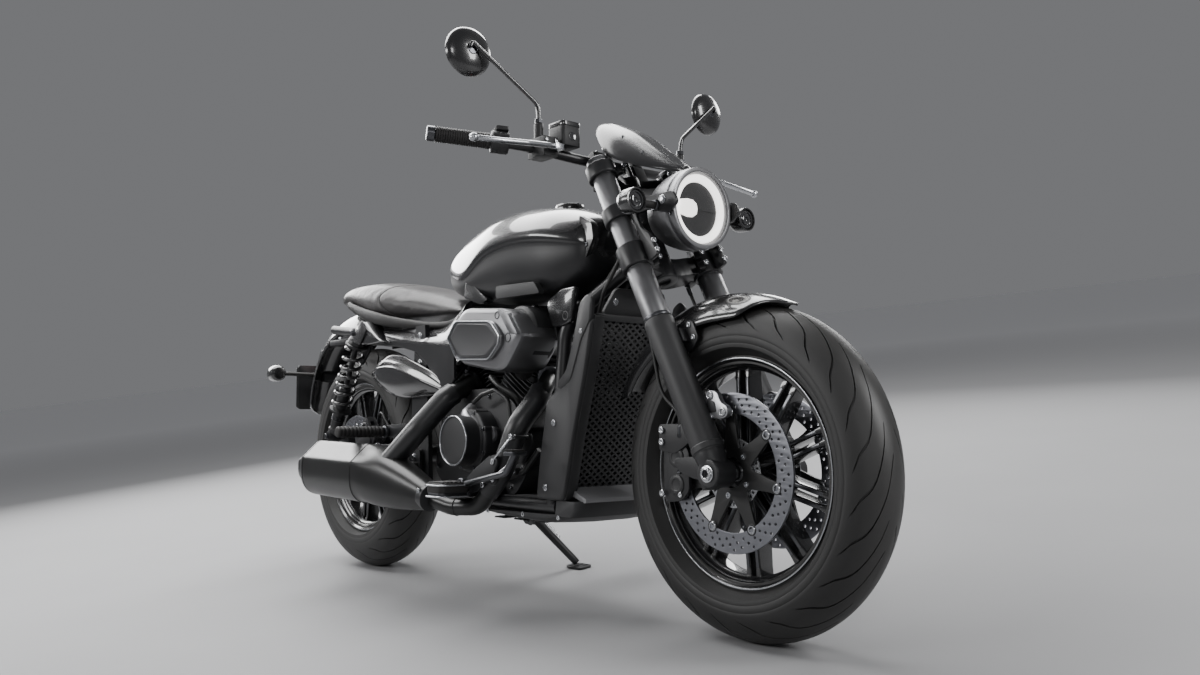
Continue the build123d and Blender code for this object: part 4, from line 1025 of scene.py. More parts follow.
# %% [markdown]
# ## Clamps and hoses
# Two forged clamps tie the legs together. Each has a ring around each leg, a bridge between the rings
# and a split with pinch screws at the back.

# %% Clamps
def leg_plate(outline, low, high):
    """A flat piece outlined by (ahead, left) points across the legs."""
    return slab([fork_at(u, y, low) for u, y in outline], UP_LEG, high - low)


CLAMPS = (("lower_clamp_forged", 458, 510, "lower_clamp"), ("upper_clamp_forged", 690, 722, "upper_clamp"))
BRIDGE = [(8, -92), (2, -60), (-10, -30), (-10, 30), (2, 60), (8, 92), (-24, 98), (-50, 62), (-66, 30),
          (-66, -30), (-50, -62), (-24, -98)]
for name, low, high, node in CLAMPS:
    clay = Clay()
    bridge = [(point.x, point.y) for point in softened([(u, y, 0) for u, y in BRIDGE], 10, 3)]
    clay.join(leg_plate(bridge, low + 5, high - 5))
    clay.join(leg_spin(0, [(14.2, low), (28, low), (30, low + 2), (30, high - 2), (28, high), (14.2, high)],
                       40, loop=True, u=-35))
    for side in SIDES:
        y = side * FORK_Y
        rim_ring = [(25.1, low), (31, low), (33, low + 2), (33, high - 2), (31, high), (25.1, high)]
        clay.join(leg_spin(y, rim_ring, 48, loop=True))
        clay.join(leg_box((-48, -26), (y - side * 8, y - side * 30), (low + 4, high - 4)))
        for t in ([low + 13, high - 13] if high - low > 40 else [(low + high) / 2]):
            clay.join(screw(fork_at(-38, y - side * 7, t), LEFT * side, 5, 6), 1)
            clay.join(screw(fork_at(34, side * 68, t), AHEAD_LEG, 6.2, 5), 1)
            clay.join(leg_spin(side * 68, [(9, t - 9), (9, t + 9)], 4, u=20))
    if node == "lower_clamp":
        clay.join(leg_spin(0, [(14, 500), (14, 727), (12.5, 728)], 32, u=-35), 1)
    else:
        clay.join(leg_spin(0, [(16, 722), (16, 726), (13, 728)], 6, u=-35), 1)
    piece(name, clay, [satin_black, bright_screw], "steering", [node], bevel=1.0)

hoses = Clay()
for side in SIDES:
    y, top = side * 80.5, FRONT_AXLE + Vector((-118, side * 80.5, 66.3))
    route = [fork_at(-46, y, 461.7), fork_at(-46, y, 400), fork_at(-62, y, 300), fork_at(-84, y, 215),
             top + Vector((0, 0, 46)), top]
    hoses.join(pipe(route, [150, 300, 120, 60], 3.9, 14, 8))
    hoses.join(bar(top, top + Vector((0, 0, 22)), 5.4, 14, 1, 1))
    hoses.join(turned(top, (0, 0, 1), [(7, 0), (7, 6), (6, 7)], 6, 1))
    hoses.join(bar(fork_at(-46, y, 461), fork_at(-46, y, 442), 5.2, 14, 1, 1))
piece("brake_hoses_bent", hoses, [hose_rubber, dark_metal], "steering", ["brake_hoses"])

# %% [markdown]
# ## Headlight, brackets and signals
# The bucket is a round bowl with a wide bezel. Inside sit a glowing ring, a dim reflector and the bright
# half-round low beam, behind a clear glass. Two forged brackets hold it, with a signal on each side.

# %% Headlight
LAMP = fork_at(133.4, 0, 530.9)
FORWARD = Vector((1, 0, 0))

bucket = turned(LAMP, FORWARD, [(20, -118.5), (45, -117), (58, -106), (70, -88), (79, -66), (83.5, -46),
                                (85, -30), (85, -22), (83.6, -20), (85, -18), (85, -5), (84, -1.2), (81, 0),
                                (75.5, -1), (73, -5), (71.6, -16), (40, -30), (0, -30)], 96)
bucket.join(turned(LAMP, FORWARD, [(71.4, -9), (68.5, -6), (58, -11), (56, -18), (58, -20), (71.4, -20)],
                   96, loop=True), 1)
bucket.join(turned(LAMP, FORWARD, [(57.4, -17), (50, -25), (30, -29.4), (0, -29.5)], 64), 2)
lobe = [(-56, -15), (-30, -20), (-14, -19), (-3, -12), (0, 0), (-3, 12), (-14, 19), (-30, 20), (-56, 15)]
bucket.join(dome([LAMP + Vector((-20, y, z)) for y, z in lobe], FORWARD, 8,
                 ((0, 1), (0.7, 0.92), (1, 0.7))), 3)
bucket.join(slab([LAMP + Vector((-22, y, z)) for y, z in ((4, -2), (56, -2), (56, 2), (4, 2))],
                 FORWARD, 6), 2)
for side in SIDES:
    bucket.join(screw(LAMP + Vector((-12, side * 84, -20)), (0, side, 0), 4, 1.2), 4)
piece("headlight_bucket", bucket, [gunmetal, ring_light, lamp_bowl, beam_light, dark_metal], "steering",
      ["headlight"], angle=40)
dish = [(75, -4.5), (60, -2.6), (35, -1.2), (0, -0.8), (0, -2.8), (35, -3.2), (60, -4.6), (75, -6.5)]
glass = turned(LAMP, FORWARD, dish, 96, caps=False)
piece("headlight_glass", glass, clear_glass, "steering")

# %% Brackets and signals
brackets, signals = Clay(), Clay()
for side in SIDES:
    y = side * FORK_Y
    brackets.join(leg_spin(y, [(25.4, 574), (32, 574), (33, 575.5), (33, 604.5), (32, 606), (25.4, 606)],
                           48, loop=True))
    arm = outline_at(fork_at, ((20, 576), (20, 604), (62, 596), (100, 574), (150, 548), (150, 522),
                               (120, 515), (70, 560)), side * 86, 8)
    brackets.join(slab(arm, (0, side, 0), 7.5))
    foot = outline_at(fork_at, ((34, 455), (60, 455), (60, 505), (46, 530), (46, 590), (20, 590),
                                (20, 576), (34, 560)), side * 94, 6)
    brackets.join(slab(foot, (0, side, 0), 9))
    brackets.join(screw(LAMP + Vector((-42, side * 93.5, 0)) + AHEAD_LEG * 22, (0, side, 0), 7.5, 5,
                        kind="hexagon"), 1)
    for t in (466, 488):
        brackets.join(screw(fork_at(60.5, side * 98.5, t), AHEAD_LEG, 6.4, 4.5), 1)
    brackets.join(screw(fork_at(-33, y, 590), -AHEAD_LEG, 5, 5), 1)
    spot = LAMP + Vector((-42, side * 161, 0))
    signals.join(turned(spot, FORWARD, [(9, -22), (18, -20.5), (24, -15), (26, -6), (26, 15), (25, 17.6),
                                        (22.4, 18), (21.6, 15.5), (21, 9), (0, 9)], 48))
    signals.join(turned(spot, FORWARD, [(21.4, 12.5), (19, 15.6), (17, 15.6), (15.2, 11.6), (13, 11.6),
                                        (11, 15.4), (8, 16.4), (6.4, 16.2), (4.6, 12.8), (0, 12.6)], 40), 1)
    stalk = spot + Vector((0, -side * 64, 0))
    signals.join(turned(stalk, LEFT * side, [(9.5, 0), (8, 4), (7.6, 36), (9, 40)], 24), 2)
    signals.join(turned(stalk, LEFT * side, [(12.5, -3), (12.5, 1), (11, 3)], 6), 3)
piece("lamp_brackets_forged", brackets, [satin_black, bright_screw], "steering",
      ["lamp_brackets"], bevel=0.8)
piece("front_signals_ringed", signals, [gloss_plastic, smoked_lens, rubber, dark_metal], "steering",
      ["front_signals"])

# %% [markdown]
# ## Screen and dial
# The small screen is one curved skin, widest in the middle and pointed at the lamp, with a raised ridge
# along its crest. The round dial behind it leans back towards the rider.

# %% Flyscreen
CREST = ((137, 631, 20, 8), (124, 652, 62, 16), (109, 690, 84, 34), (92, 726, 97, 47), (75, 763, 100, 50),
         (58, 796, 94, 46), (24, 840, 76, 28), (-6, 878, 45, 11))
BEND = 1.35
screen_rows = []
for index, (u, t, half, fall) in enumerate(CREST):
    (u0, t0), (u1, t1) = CREST[max(index - 1, 0)][:2], CREST[min(index + 1, len(CREST) - 1)][:2]
    outward = (AHEAD_LEG * (t1 - t0) - UP_LEG * (u1 - u0)).normalized()
    row = []
    for step in range(-10, 11):
        share = step / 10
        ridge = 2.2 if abs(step) in (1, 2) else 0
        sideways = LEFT * half * math.sin(share * BEND) / math.sin(BEND)
        row.append(fork_at(u, 0, t) + sideways - outward * (fall * abs(share) ** 2.1 + 2.2 - ridge))
    screen_rows.append((row, outward))
skin = Clay().rings([row + [point - outward * 3 for point in reversed(row)]
                     for row, outward in screen_rows])
stay_foot = LAMP + Vector((-48, 0, 85.3))
skin.join(bar(stay_foot - Vector((0, 0, 6)), stay_foot + Vector((0, 0, 14)), 8, 20, 1))
for side in SIDES:
    for t in (700, 770):
        u = np.interp(t, [item[1] for item in CREST], [item[0] for item in CREST])
        skin.join(screw(fork_at(u - 16, side * 60, t), AHEAD_LEG, 4.5, 3), 2)
piece("flyscreen_curved", skin, [screen_plastic, dark_plastic, dark_metal], "steering", ["flyscreen"],
      smooth=1, angle=50)

# %% Dial
dial = leg_spin(0, [(30, 798), (35, 800), (38, 806), (38.4, 820), (37.4, 824), (34.6, 824.4), (34, 822.6),
                    (0, 822.6)], 64, u=-14)
dial.join(leg_spin(0, [(9, 722), (6.5, 728), (6.5, 798)], 20, u=-14), 1)
for hour in range(25):
    turn = math.radians(-220 + hour * 260 / 24)
    across, out = AHEAD_LEG * -math.sin(turn) + LEFT * -math.cos(turn), UP_LEG
    start, end = (25 if hour % 4 == 0 else 28), 32
    beside = across.cross(out)
    base = fork_at(-14, 0, 822.8)
    wide = 0.6 if hour % 4 else 1.0
    dial.join(slab([base + across * start - beside * wide, base + across * end - beside * wide,
                    base + across * end + beside * wide, base + across * start + beside * wide],
                   UP_LEG, 0.3), 2)
needle = AHEAD_LEG * -0.5 + LEFT * 0.86
base = fork_at(-14, 0, 823.2)
aside = needle.cross(UP_LEG) * 1.2
dial.join(slab([base - needle * 6 - aside, base + needle * 26, base - needle * 6 + aside], UP_LEG, 0.4), 3)
dial.join(leg_spin(0, [(4, 823), (3.6, 824.4), (0, 824.6)], 24, u=-14), 4)
piece("dial_round", dial, [gloss_plastic, satin_black, machined_and_highlights, red_button, dark_metal],
      "steering", ["dial"])

# %% [markdown]
# ## Front mudguard
# The mudguard is a rolled skin: its section is an arc, its ends are rounded, and its lower edge rises and
# falls. Short stays bolt it to the legs.

# %% A mudguard's skin, and the front one
def mudguard(centre, crest, section, thickness, ends, spread_at, edge_roll=2.4):
    """An arched skin about a wheel. crest is the radius of its top line, section the radius of its
    arched section, ends the degrees round the wheel between which it runs, and spread_at gives the
    section's half angle at each share of its length. edge_roll turns the outer edges in."""
    hub = crest - section
    outer_rows = []
    for step in range(49):
        share = step / 48
        turn = math.radians(ends[0] + (ends[1] - ends[0]) * share)
        spread = spread_at(share)
        row = []
        for across in range(-12, 13):
            lean = math.radians(spread * across / 12)
            roll = edge_roll * max(0, (abs(across) - 11))
            row.append((turn, lean, section - roll))
        outer_rows.append(row)
    rings = []
    for row in outer_rows:
        ring = []
        for drop in (0, thickness):
            line = []
            for turn, lean, r in row:
                reach = hub + (r - drop) * math.cos(lean)
                line.append(centre + Vector((reach * math.cos(turn), (r - drop) * math.sin(lean),
                                             reach * math.sin(turn))))
            ring += line if drop == 0 else list(reversed(line))
        rings.append(ring)
    return Clay().rings(rings)


def from_table(rows, share):
    """The value at a share, on straight lines between (share, value) rows."""
    for (low, first), (high, second) in zip(rows, rows[1:]):
        if share <= high:
            return first + (second - first) * (share - low) / (high - low)
    return rows[-1][1]


FRONT_SPREAD = [(0, 8), (0.03, 16), (0.07, 27), (0.12, 55), (0.155, 70), (0.25, 77), (0.36, 80), (0.5, 83),
                (0.7, 82), (0.86, 80), (0.95, 82), (0.985, 72), (1, 55)]


def front_spread(share):
    """The front mudguard's half angle, averaged over a short stretch to smooth its corners."""
    return sum(from_table(FRONT_SPREAD, share + shift) for shift in (-0.02, -0.01, 0, 0.01, 0.02)) / 5


guard = mudguard(FRONT_AXLE + Vector((-38, 0, 2)), 346, 75.5, 3, (65, 152), front_spread)
for side in SIDES:
    stay = outline_at(fork_at, ((6, 256), (10, 306), (40, 312), (58, 300), (56, 262), (30, 250)),
                      side * 69.5, 8)
    guard.join(slab(stay, (0, side, 0), 6), 1)
    guard.join(leg_box((10, 34), (side * 74, side * 92), (268, 298)), 1)
    for t in (270, 298):
        guard.join(screw(fork_at(46, side * 75.5, t), (0, side, 0), 6, 3), 2)
piece("front_mudguard", guard, [gloss_black, satin_black, bright_screw], "steering", ["front_fender"],
      bevel=0.5, angle=40)

# %% [markdown]
# ## Handlebar and controls
# The bar is one bent tube. Ribbed grips, switch pods with small buttons, ball-ended levers, a fluid
# reservoir and round mirrors hang on it.

# %% Bar, risers and grips
BAR_POINTS = [(-98, -415, 28), (-16, -250, 14), (8, -110, 0), (8, 110, 0), (-16, 250, 14), (-98, 415, 28)]
bent = pipe([bar_at(*point) for point in BAR_POINTS], [160, 60, 60, 160], 10.9, 24, 8)
piece("handlebar_tube", bent, satin_black, "steering", ["handlebar"])

risers = Clay()
for side in SIDES:
    y = side * 55
    risers.join(leg_box((-67, -29), (y - 16, y + 16), (718, 777)))
    risers.join(leg_box((-66, -30), (y - 15, y + 15), (779, 800)))
    for u in (-61, -35):
        risers.join(screw(fork_at(u, y, 800), UP_LEG, 4.6, 4), 1)
piece("bar_risers_split", risers, [satin_black, bright_screw], "steering", ["bar_risers"],
      bevel=3, segments=3)


def along_bar(side, distance):
    """A point on the outer run of the bar, so far in from its end."""
    end, bend = bar_at(-98, side * 415, 28), bar_at(-16, side * 250, 14)
    return end + (bend - end).normalized() * distance


grips, pods, levers = Clay(), Clay(), Clay()
for side in SIDES:
    inward = (along_bar(side, 100) - along_bar(side, 0)).normalized()
    start = along_bar(side, -14)
    profile = [(11.2, 0), (14, 0), (16, 1.5), (16, 16), (15, 17)]
    grips.join(turned(start, inward, profile, 36, 1))
    ribs = []
    for rib in range(21):
        at = 19 + rib * 5
        ribs += [(15.4, at), (16.6, at + 0.8), (16.6, at + 3.4), (15.4, at + 4.2)]
    grips.join(turned(start, inward, [(11.4, 18)] + ribs + [(17, 125), (17, 131), (11.4, 132)],
                      36, loop=True))
    pod = [(11.4, 120), (22, 120.5), (24, 123), (24, 137), (23.2, 138), (24, 139), (24, 155),
           (22, 158), (11.4, 158)]
    pods.join(turned(along_bar(side, 0), inward, pod, 40, loop=True))
    for place in (128, 148):
        spot = along_bar(side, place) + Vector((-22, 0, -4))
        pods.join(turned(spot, (-1, 0, 0.1), [(6, 0), (6, 4), (5, 5)], 16), 1)
    top = along_bar(side, 139) + Vector((0, 0, 20))
    lid = [top + inward * a + AHEAD_LEG * b for a, b in ((-12, -14), (15, -14), (15, 13), (-12, 13))]
    pods.join(slab(softened(lid, 5), (0, 0, 1), 8))
    pods.join(turned(top + Vector((0, 0, 6)), (0, 0, 1), [(7, 0), (8.4, 3), (7.6, 6), (0, 6.5)], 20),
              2 if side < 0 else 1)
    pods.join(box(bar_at(-22, side * 190, -12), bar_at(34, side * 226, 30)))
    post = bar_at(-5, side * 211, 30)
    pods.join(turned(post, (0, 0, 1), [(12, -4), (10, 3), (10, 33), (8.6, 36)], 24))
    for y in (196, 220):
        pods.join(screw(bar_at(34, side * y, 22), (1, 0, 0), 3.6, 3.5), 3)
    blade = ((44, 196, 6), (58, 232, 2), (63, 290, -4), (60, 350, -9), (51, 409, -11))
    levers.join(pipe([bar_at(x, side * y, z) for x, y, z in blade], 60, 6, 12))
    ball = [(3, 0), (6.5, 2), (8.6, 6), (9, 9), (8.6, 12), (6.5, 16), (2, 18)]
    levers.join(turned(bar_at(51, side * 403, -11), LEFT * side, ball, 20))
    levers.join(box(bar_at(34.5, side * 190, -1), bar_at(56, side * 211, 12)))
    levers.join(screw(bar_at(45, side * 200, 12), (0, 0, 1), 5.4, 4), 1)
reservoir = [(-15, -180), (40, -180), (40, -130), (-15, -130)]
body = softened([bar_at(x, y, 18) for x, y in reservoir], 10)
pods.join(slab(body, (0, 0, 1), 42))
pods.join(slab(softened([bar_at(x, y, 60.5) for x, y in reservoir], 10), (0, 0, 1), 10), 1)
for x, y in ((-8, -173), (33, -173), (33, -137), (-8, -137)):
    pods.join(screw(bar_at(x, y, 70), (0, 0, 1), 3.2, 1.6), 3)
pods.join(turned(bar_at(40, -155, 38), (1, 0, 0), [(10, 0), (9, 1.2), (7.5, 0.6), (0, 0.6)], 24), 4)
pods.join(bar(bar_at(10, -170, 22), bar_at(6, -188, 12), 6, 14))
piece("grips_ribbed", grips, [rubber, dark_metal], "steering", ["grips"])
piece("control_pods_split", pods, [dark_plastic, gloss_plastic, red_button, bright_screw, smoked_lens],
      "steering", ["control_pods"], bevel=1.0)
piece("levers_ball_ended", levers, [machined_and_highlights, bright_screw], "steering", ["levers"], bevel=0.8)

# %% Mirrors
mirrors = Clay()
for side in SIDES:
    foot, knee = bar_at(-5, side * 211, 66.9), bar_at(-2, side * 215, 105)
    centre = bar_at(-36, side * 358, 205)
    look_at = Vector((0.99, side * 0.07, 0.02)).normalized()
    mirrors.join(turned(foot, (0, 0, 1), [(9, 0), (9, 8), (7, 9)], 6, 1))
    stalk = [foot, knee, centre + Vector((4, side * 4, 14)), centre + Vector((4, side * 8, 2))]
    mirrors.join(pipe(stalk, [30, 6], 4.6, 16, 8))
    shell = [(14, -1), (30, -4), (44, -9), (50.5, -14), (53, -20), (53, -23), (51.5, -23.8),
             (50, -22), (49.6, -20)]
    mirrors.join(turned(centre, look_at, shell, 72))
    mirrors.join(turned(centre, look_at, [(49.6, -21), (0, -21)], 72), 2)
    mirrors.join(turned(centre - look_at * 3, look_at, [(13, -3), (12, 1), (9, 3.5), (0, 4)], 28), 1)
piece("mirrors_round", mirrors, [gloss_plastic, dark_metal, mirror_face], "steering", ["mirrors"], angle=30)


# %% [markdown]
# ## Tank
# The tank is lofted through stations measured from the crank: how far ahead, half width, top, bottom and
# the height of the crease that runs along its side. Above the crease it is gloss lacquer. Below, the side
# steps in and is satin. A smooth curve fills the space between the stations.

# %% Smooth tables
def flowing(rows, between=4):
    """Rows of numbers with a Catmull-Rom curve's rows added between them."""
    rows = [np.array(row, float) for row in rows]
    ends = [2 * rows[0] - rows[1]] + rows + [2 * rows[-1] - rows[-2]]
    made = []
    for a, b, c, d in zip(ends, ends[1:], ends[2:], ends[3:]):
        for step in range(between):
            t = step / between
            made.append(0.5 * (2 * b + (c - a) * t + (2 * a - 5 * b + 4 * c - d) * t * t
                               + (3 * b - a - 3 * c + d) * t ** 3))
    return made + [rows[-1]]


# %% Fuel tank
TANK = [(-217, 40, 470, 402, 436, 0), (-205, 68, 488, 392, 436, 0.3), (-162, 93, 512, 369, 424, 1.5),
        (-72, 121, 541, 346, 404, 5), (38, 138, 556, 332, 446, 7), (128, 143, 556.5, 326, 459, 7),
        (199, 143, 549, 323, 460, 7), (276, 136, 536, 322, 453, 7), (349, 110, 512, 352, 440, 5),
        (374, 90, 496, 378, 434, 2), (382, 70, 484, 398, 436, 0)]


def tank_section(x, half, top, bottom, crease, recess):
    """A closed section across the tank: down its left side from the top, and back up its right."""
    line = []
    for step in range(11):
        s = math.radians(step * 9)
        line.append((half * math.sin(s) ** 0.88, crease + (top - crease) * max(0, math.cos(s)) ** 0.95))
    for step in range(11):
        s = math.radians(step * 9)
        low = crease - recess * 0.9
        line.append(((half - recess) * max(0, math.cos(s)) ** 0.42,
                     low - (low - bottom) * math.sin(s) ** 0.85))
    return [crank_at(x, y, z) for y, z in line] + [crank_at(x, -y, z) for y, z in reversed(line[1:-1])]


def side_bands(step):
    """Satin below the crease, gloss above it."""
    return 1 if 10 <= step < 31 else 0


tank = Clay().rings([tank_section(*row) for row in flowing(TANK, 4)], side_bands)
piece("fuel_tank_shell", tank, [gloss_black, satin_black], "chassis", ["fuel_tank"], smooth=1, angle=30)

trim = Clay()
for side in SIDES:
    trim.join(crank_plate([(100, 333), (100, 363), (250, 358), (272, 330)], side * 118, side * 134, 8))
    trim.join(crank_plate([(-54, 400), (-10, 372), (40, 338), (8, 330), (-62, 352)], side * 96,
                          side * 118, 6, 1))
    vent = [(352, 500), (394, 478), (400, 440), (372, 398), (352, 452)]
    trim.join(crank_plate(vent, side * 66, side * 84, 8, 2))
    trim.join(screw(crank_at(377, side * 84, 430), (0, side, 0), 5, 2.5), 3)
cap = [(34, 0), (35, 3), (35, 12), (33, 16), (26, 18), (24.5, 17.2), (23, 18.4), (0, 21.6)]
trim.join(turned(crank_at(215, 0, 538), (0, 0, 1), cap, 64), 2)
for bolt in range(5):
    turn = bolt * 1.257
    spot = crank_at(215, 0, 554.8) + Vector((29.5 * math.cos(turn), 29.5 * math.sin(turn), 0))
    trim.join(screw(spot, (0, 0, 1), 2.6, 1.6), 3)
piece("tank_trim", trim, [dark_plastic, gloss_black, gloss_plastic, dark_metal], "chassis", ["fuel_cap"],
      bevel=2, segments=3)

# %% [markdown]
# ## Seat
# The seat is foam under leather. We loft a slightly small form, remesh it evenly and let Blender's Cloth
# blow it up a little, with its underside held and no gravity. The seam comes afterwards: a shallow
# valley pressed into the leather, with a stitched welt lying in it.

# %% Padding by cloth pressure
PRESSURE, MOMENTS = 4, 20


def stuffed(name, clay, voxel, cap, held_below):
    """Clay remeshed evenly and swollen by Cloth pressure. No point moves more than cap millimetres."""
    mesh = bpy.data.meshes.new(name)
    mesh.from_pydata([point / 1000 for point in clay.points], [], clay.faces)
    holder = bpy.data.objects.new(name, mesh)
    bpy.context.scene.collection.objects.link(holder)
    even = holder.modifiers.new("even", "REMESH")
    even.mode, even.voxel_size = "VOXEL", voxel / 1000
    holder.data = evaluated_mesh(holder)
    holder.modifiers.clear()
    resting = [vertex.co.copy() for vertex in holder.data.vertices]
    swollen = resting
    held = holder.vertex_groups.new(name="held")
    held.add([i for i, place in enumerate(resting) if held_below(place * 1000)], 1.0, "REPLACE")
    padding = holder.modifiers.new("padding", "CLOTH")
    padding.settings.use_pressure = True
    padding.settings.uniform_pressure_force = PRESSURE
    padding.settings.vertex_group_mass = "held"
    padding.settings.effector_weights.gravity = 0
    padding.point_cache.frame_start, padding.point_cache.frame_end = 1, MOMENTS
    for moment in range(1, MOMENTS + 1):
        bpy.context.scene.frame_set(moment)
    blown = holder.evaluated_get(bpy.context.evaluated_depsgraph_get()).data
    swollen = []
    for place, vertex in zip(resting, blown.vertices):
        shift = vertex.co - place
        swollen.append(place + shift * min(1, cap / 1000 / max(shift.length, 1e-9)))
    holder.modifiers.clear()
    bpy.context.scene.frame_set(1)
    faces = [tuple(face.vertices) for face in holder.data.polygons]
    bpy.data.objects.remove(holder)
    print(name, "moved at most", round(max((a - b).length for a, b in zip(swollen, resting)) * 1000, 1),
          "mm")
    return Clay().add([place * 1000 for place in swollen], faces)


SEAT = [(-835, 34, 412, 398, 24), (-822, 58, 424, 392, 20), (-772, 99, 440, 390, 24),
        (-700, 122, 446, 386, 26), (-644, 134, 446, 374, 28), (-560, 144, 443, 346, 30),
        (-500, 148, 437, 326, 32), (-430, 146, 424, 320, 34), (-362, 132, 408, 320, 34),
        (-305, 118, 394, 320, 30), (-242, 100, 376, 320, 24), (-180, 90, 357, 320, 16),
        (-124, 84, 338, 321, 8)]
cushion_rings = []
for x, half, top, bottom, edge in flowing(SEAT, 4):
    middle, high = (top + bottom) / 2, (top - bottom) / 2
    ring = []
    for turn in turns_of(40):
        c, s = math.cos(turn), math.sin(turn)
        across = half * math.copysign(abs(c) ** 0.7, c)
        up = high * math.copysign(abs(s) ** (0.95 if s > 0 else 0.5), s)
        ring.append(crank_at(x, across, middle + up))
    cushion_rings.append(ring)
cushion = stuffed("seat_form", Clay().rings(cushion_rings), 6, 6, lambda place: place.z < CRANK.z + 330)

SEAM = [(-404, 337), (-432, 352), (-455, 372), (-463, 392), (-452, 412), (-436, 432)]


def seam_at(z):
    """Where the seam crosses the seat at a height above the crank."""
    return float(np.interp(z, [z for x, z in SEAM], [x for x, z in SEAM]))


for index, place in enumerate(cushion.points):
    off = abs(place.x - CRANK.x - seam_at(place.z - CRANK.z))
    if place.z > CRANK.z + 330:
        inward = Vector((0, -place.y, CRANK.z + 360 - place.z)).normalized()
        cushion.points[index] = place + inward * 3.0 * math.exp(-(off / 5) ** 2)
seat = piece("seat_cushion", cushion, leather, "chassis", ["seat"], smooth=1, angle=180)

leather_tree = BVHTree.FromPolygons(cushion.points, cushion.faces)
welt_path = []
for step in range(61):
    turn = math.radians(-22 + 224 * step / 60)
    middle = crank_at(-440, 0, 372)
    for _ in range(4):
        aim = Vector((0, math.cos(turn), math.sin(turn)))
        hit = leather_tree.ray_cast(middle, aim)[0]
        if hit is None:
            break
        middle = Vector((CRANK.x + seam_at(hit.z - CRANK.z), middle.y, middle.z))
    if hit is not None:
        welt_path.append(hit + aim * 0.2)
welt = tube(welt_path, 1.5, 8)
for a, b in zip(welt_path, welt_path[1:]):
    for share in (0.25, 0.75):
        spot = a.lerp(b, share) + Vector((7, 0, 0))
        near = leather_tree.find_nearest(spot)[0]
        along = (b - a).normalized() * 1.8
        welt.join(bar(near - along, near + along, 0.7, 6), 1)
piece("seat_welt", welt, [side_leather, rubber], "chassis")

SKIRT = [(-660, 134, 398, 378), (-644, 142, 392, 372), (-560, 150, 370, 340), (-478, 155, 352, 318),
         (-404, 152, 334, 304), (-322, 134, 318, 294), (-243, 112, 306, 288), (-168, 99, 305, 284),
         (-120, 93, 322, 302), (-84, 84, 345, 326)]
skirt = Clay()
for side in SIDES:
    rings = []
    for x, half, top, bottom in flowing(SKIRT, 4):
        rings.append([crank_at(x, side * (half - inset), z) for inset, z in (
            (16, top + 3), (5, top + 2), (1, top - 3), (0, (top + bottom) / 2),
            (3, bottom + 2), (9, bottom), (20, bottom + 3))])
    skirt.join(Clay().rings(rings))
nose = [crank_at(-84, y, 344 + 3 * math.cos(y / 60)) for y in range(-84, 85, 12)]
skirt.join(tube(nose, 10, 12))
piece("seat_skirt", skirt, side_leather, "chassis", smooth=1, angle=50)

# %% [markdown]
# ## Covers under the seat
# Each side panel is a moulding with a glossy shelf that curls in under the seat and a satin plate below.
# The rounded cover beneath it has a bright ridge along its crest.

# %% Side panels, lower covers and strut covers
PANEL = [(-446, 120, 306, 286, 258), (-412, 120, 303, 277, 252), (-345, 112, 297, 266, 246),
         (-290, 104, 292, 258, 236), (-240, 96, 289, 252, 222), (-180, 92, 290, 246, 180),
         (-141, 88, 302, 241, 130), (-112, 86, 322, 238, 116), (-84, 86, 342, 237, 124),
         (-62, 90, 352, 262, 150)]
LOWER_COVER = [(-486, 182, 177, 170, 5), (-470, 196, 184, 156, 16), (-424, 216, 193, 134, 27),
               (-369, 230, 194, 114, 32), (-312, 224, 187, 104, 34), (-261, 209, 175, 103, 34),
               (-210, 192, 160, 105, 31), (-161, 173, 144, 107, 24), (-122, 146, 130, 111, 13),
               (-106, 126, 122, 114, 4)]
panels, covers = Clay(), Clay()
for side in SIDES:
    rings = []
    for x, inner, high, shoulder, low in flowing(PANEL, 3):
        reach, drop = 147 - inner, high - shoulder
        section = [(inner, high), (inner + reach * 0.4, high - drop * 0.16),
                   (inner + reach * 0.76, high - drop * 0.56), (147, shoulder + 3), (148.2, shoulder - 4),
                   (147.4, shoulder - 7), (147, low + 3), (145, low), (140, low), (140, shoulder - 8),
                   (inner, high - 6)]
        rings.append([crank_at(x, side * y, z) for y, z in section])
    panels.join(Clay().rings(rings, lambda step: 1 if 4 <= step <= 8 else 0))
    strut = [(200, 326), (204, 358), (240, 380), (279, 352), (325, 325), (350, 314), (270, 310), (221, 314)]
    points = outline_at(rear_at, strut, side * 130, 7)
    panels.join(dome(points, (0, side, 0), 46, ((0, 1), (0.8, 0.99), (0.94, 0.95), (1, 0.84))))
    face = ((172, 330), (206, 362), (240, 381), (262, 350), (226, 312))
    points = outline_at(rear_at, face, side * 176.6, 6)
    panels.join(slab(points, (0, side, 0), 3.6))
    wedge = ((206, 352), (240, 378), (262, 360), (300, 340), (226, 334))
    points = outline_at(rear_at, wedge, side * 148, 5)
    panels.join(dome(points, (0, side, 0), 29, ((0, 1), (0.5, 0.96), (1, 0.7))))
    shield = [(170, 344), (215, 342), (196, 300), (150, 262), (132, 268)]
    panels.join(slab(outline_at(rear_at, shield, side * 128, 8), (0, side, 0), 6), 1)
    rings = []
    for left, top, ridge, bottom, deep in flowing(LOWER_COVER, 3):
        rise = top - ridge
        section = [(0, top), (deep * 0.4, top - rise * 0.06), (deep * 0.46, top - rise * 0.14),
                   (deep * 0.5, top - rise * 0.4), (deep * 0.56, ridge + rise * 0.34),
                   (deep * 0.96, ridge + rise * 0.06), (deep, ridge - 2), (deep * 0.95, ridge - 8),
                   (deep * 0.88, ridge - (ridge - bottom) * 0.35),
                   (deep * 0.7, ridge - (ridge - bottom) * 0.7), (deep * 0.35, bottom + 3), (0, bottom)]
        rings.append([crank_at(left, side * (139.8 + depth), z) for depth, z in section])
    covers.join(Clay().rings(rings))
    for x, z in ((-462, 172), (-130, 120)):
        covers.join(screw(crank_at(x, side * 152, z), (0, side, 0), 5, 3), 1)
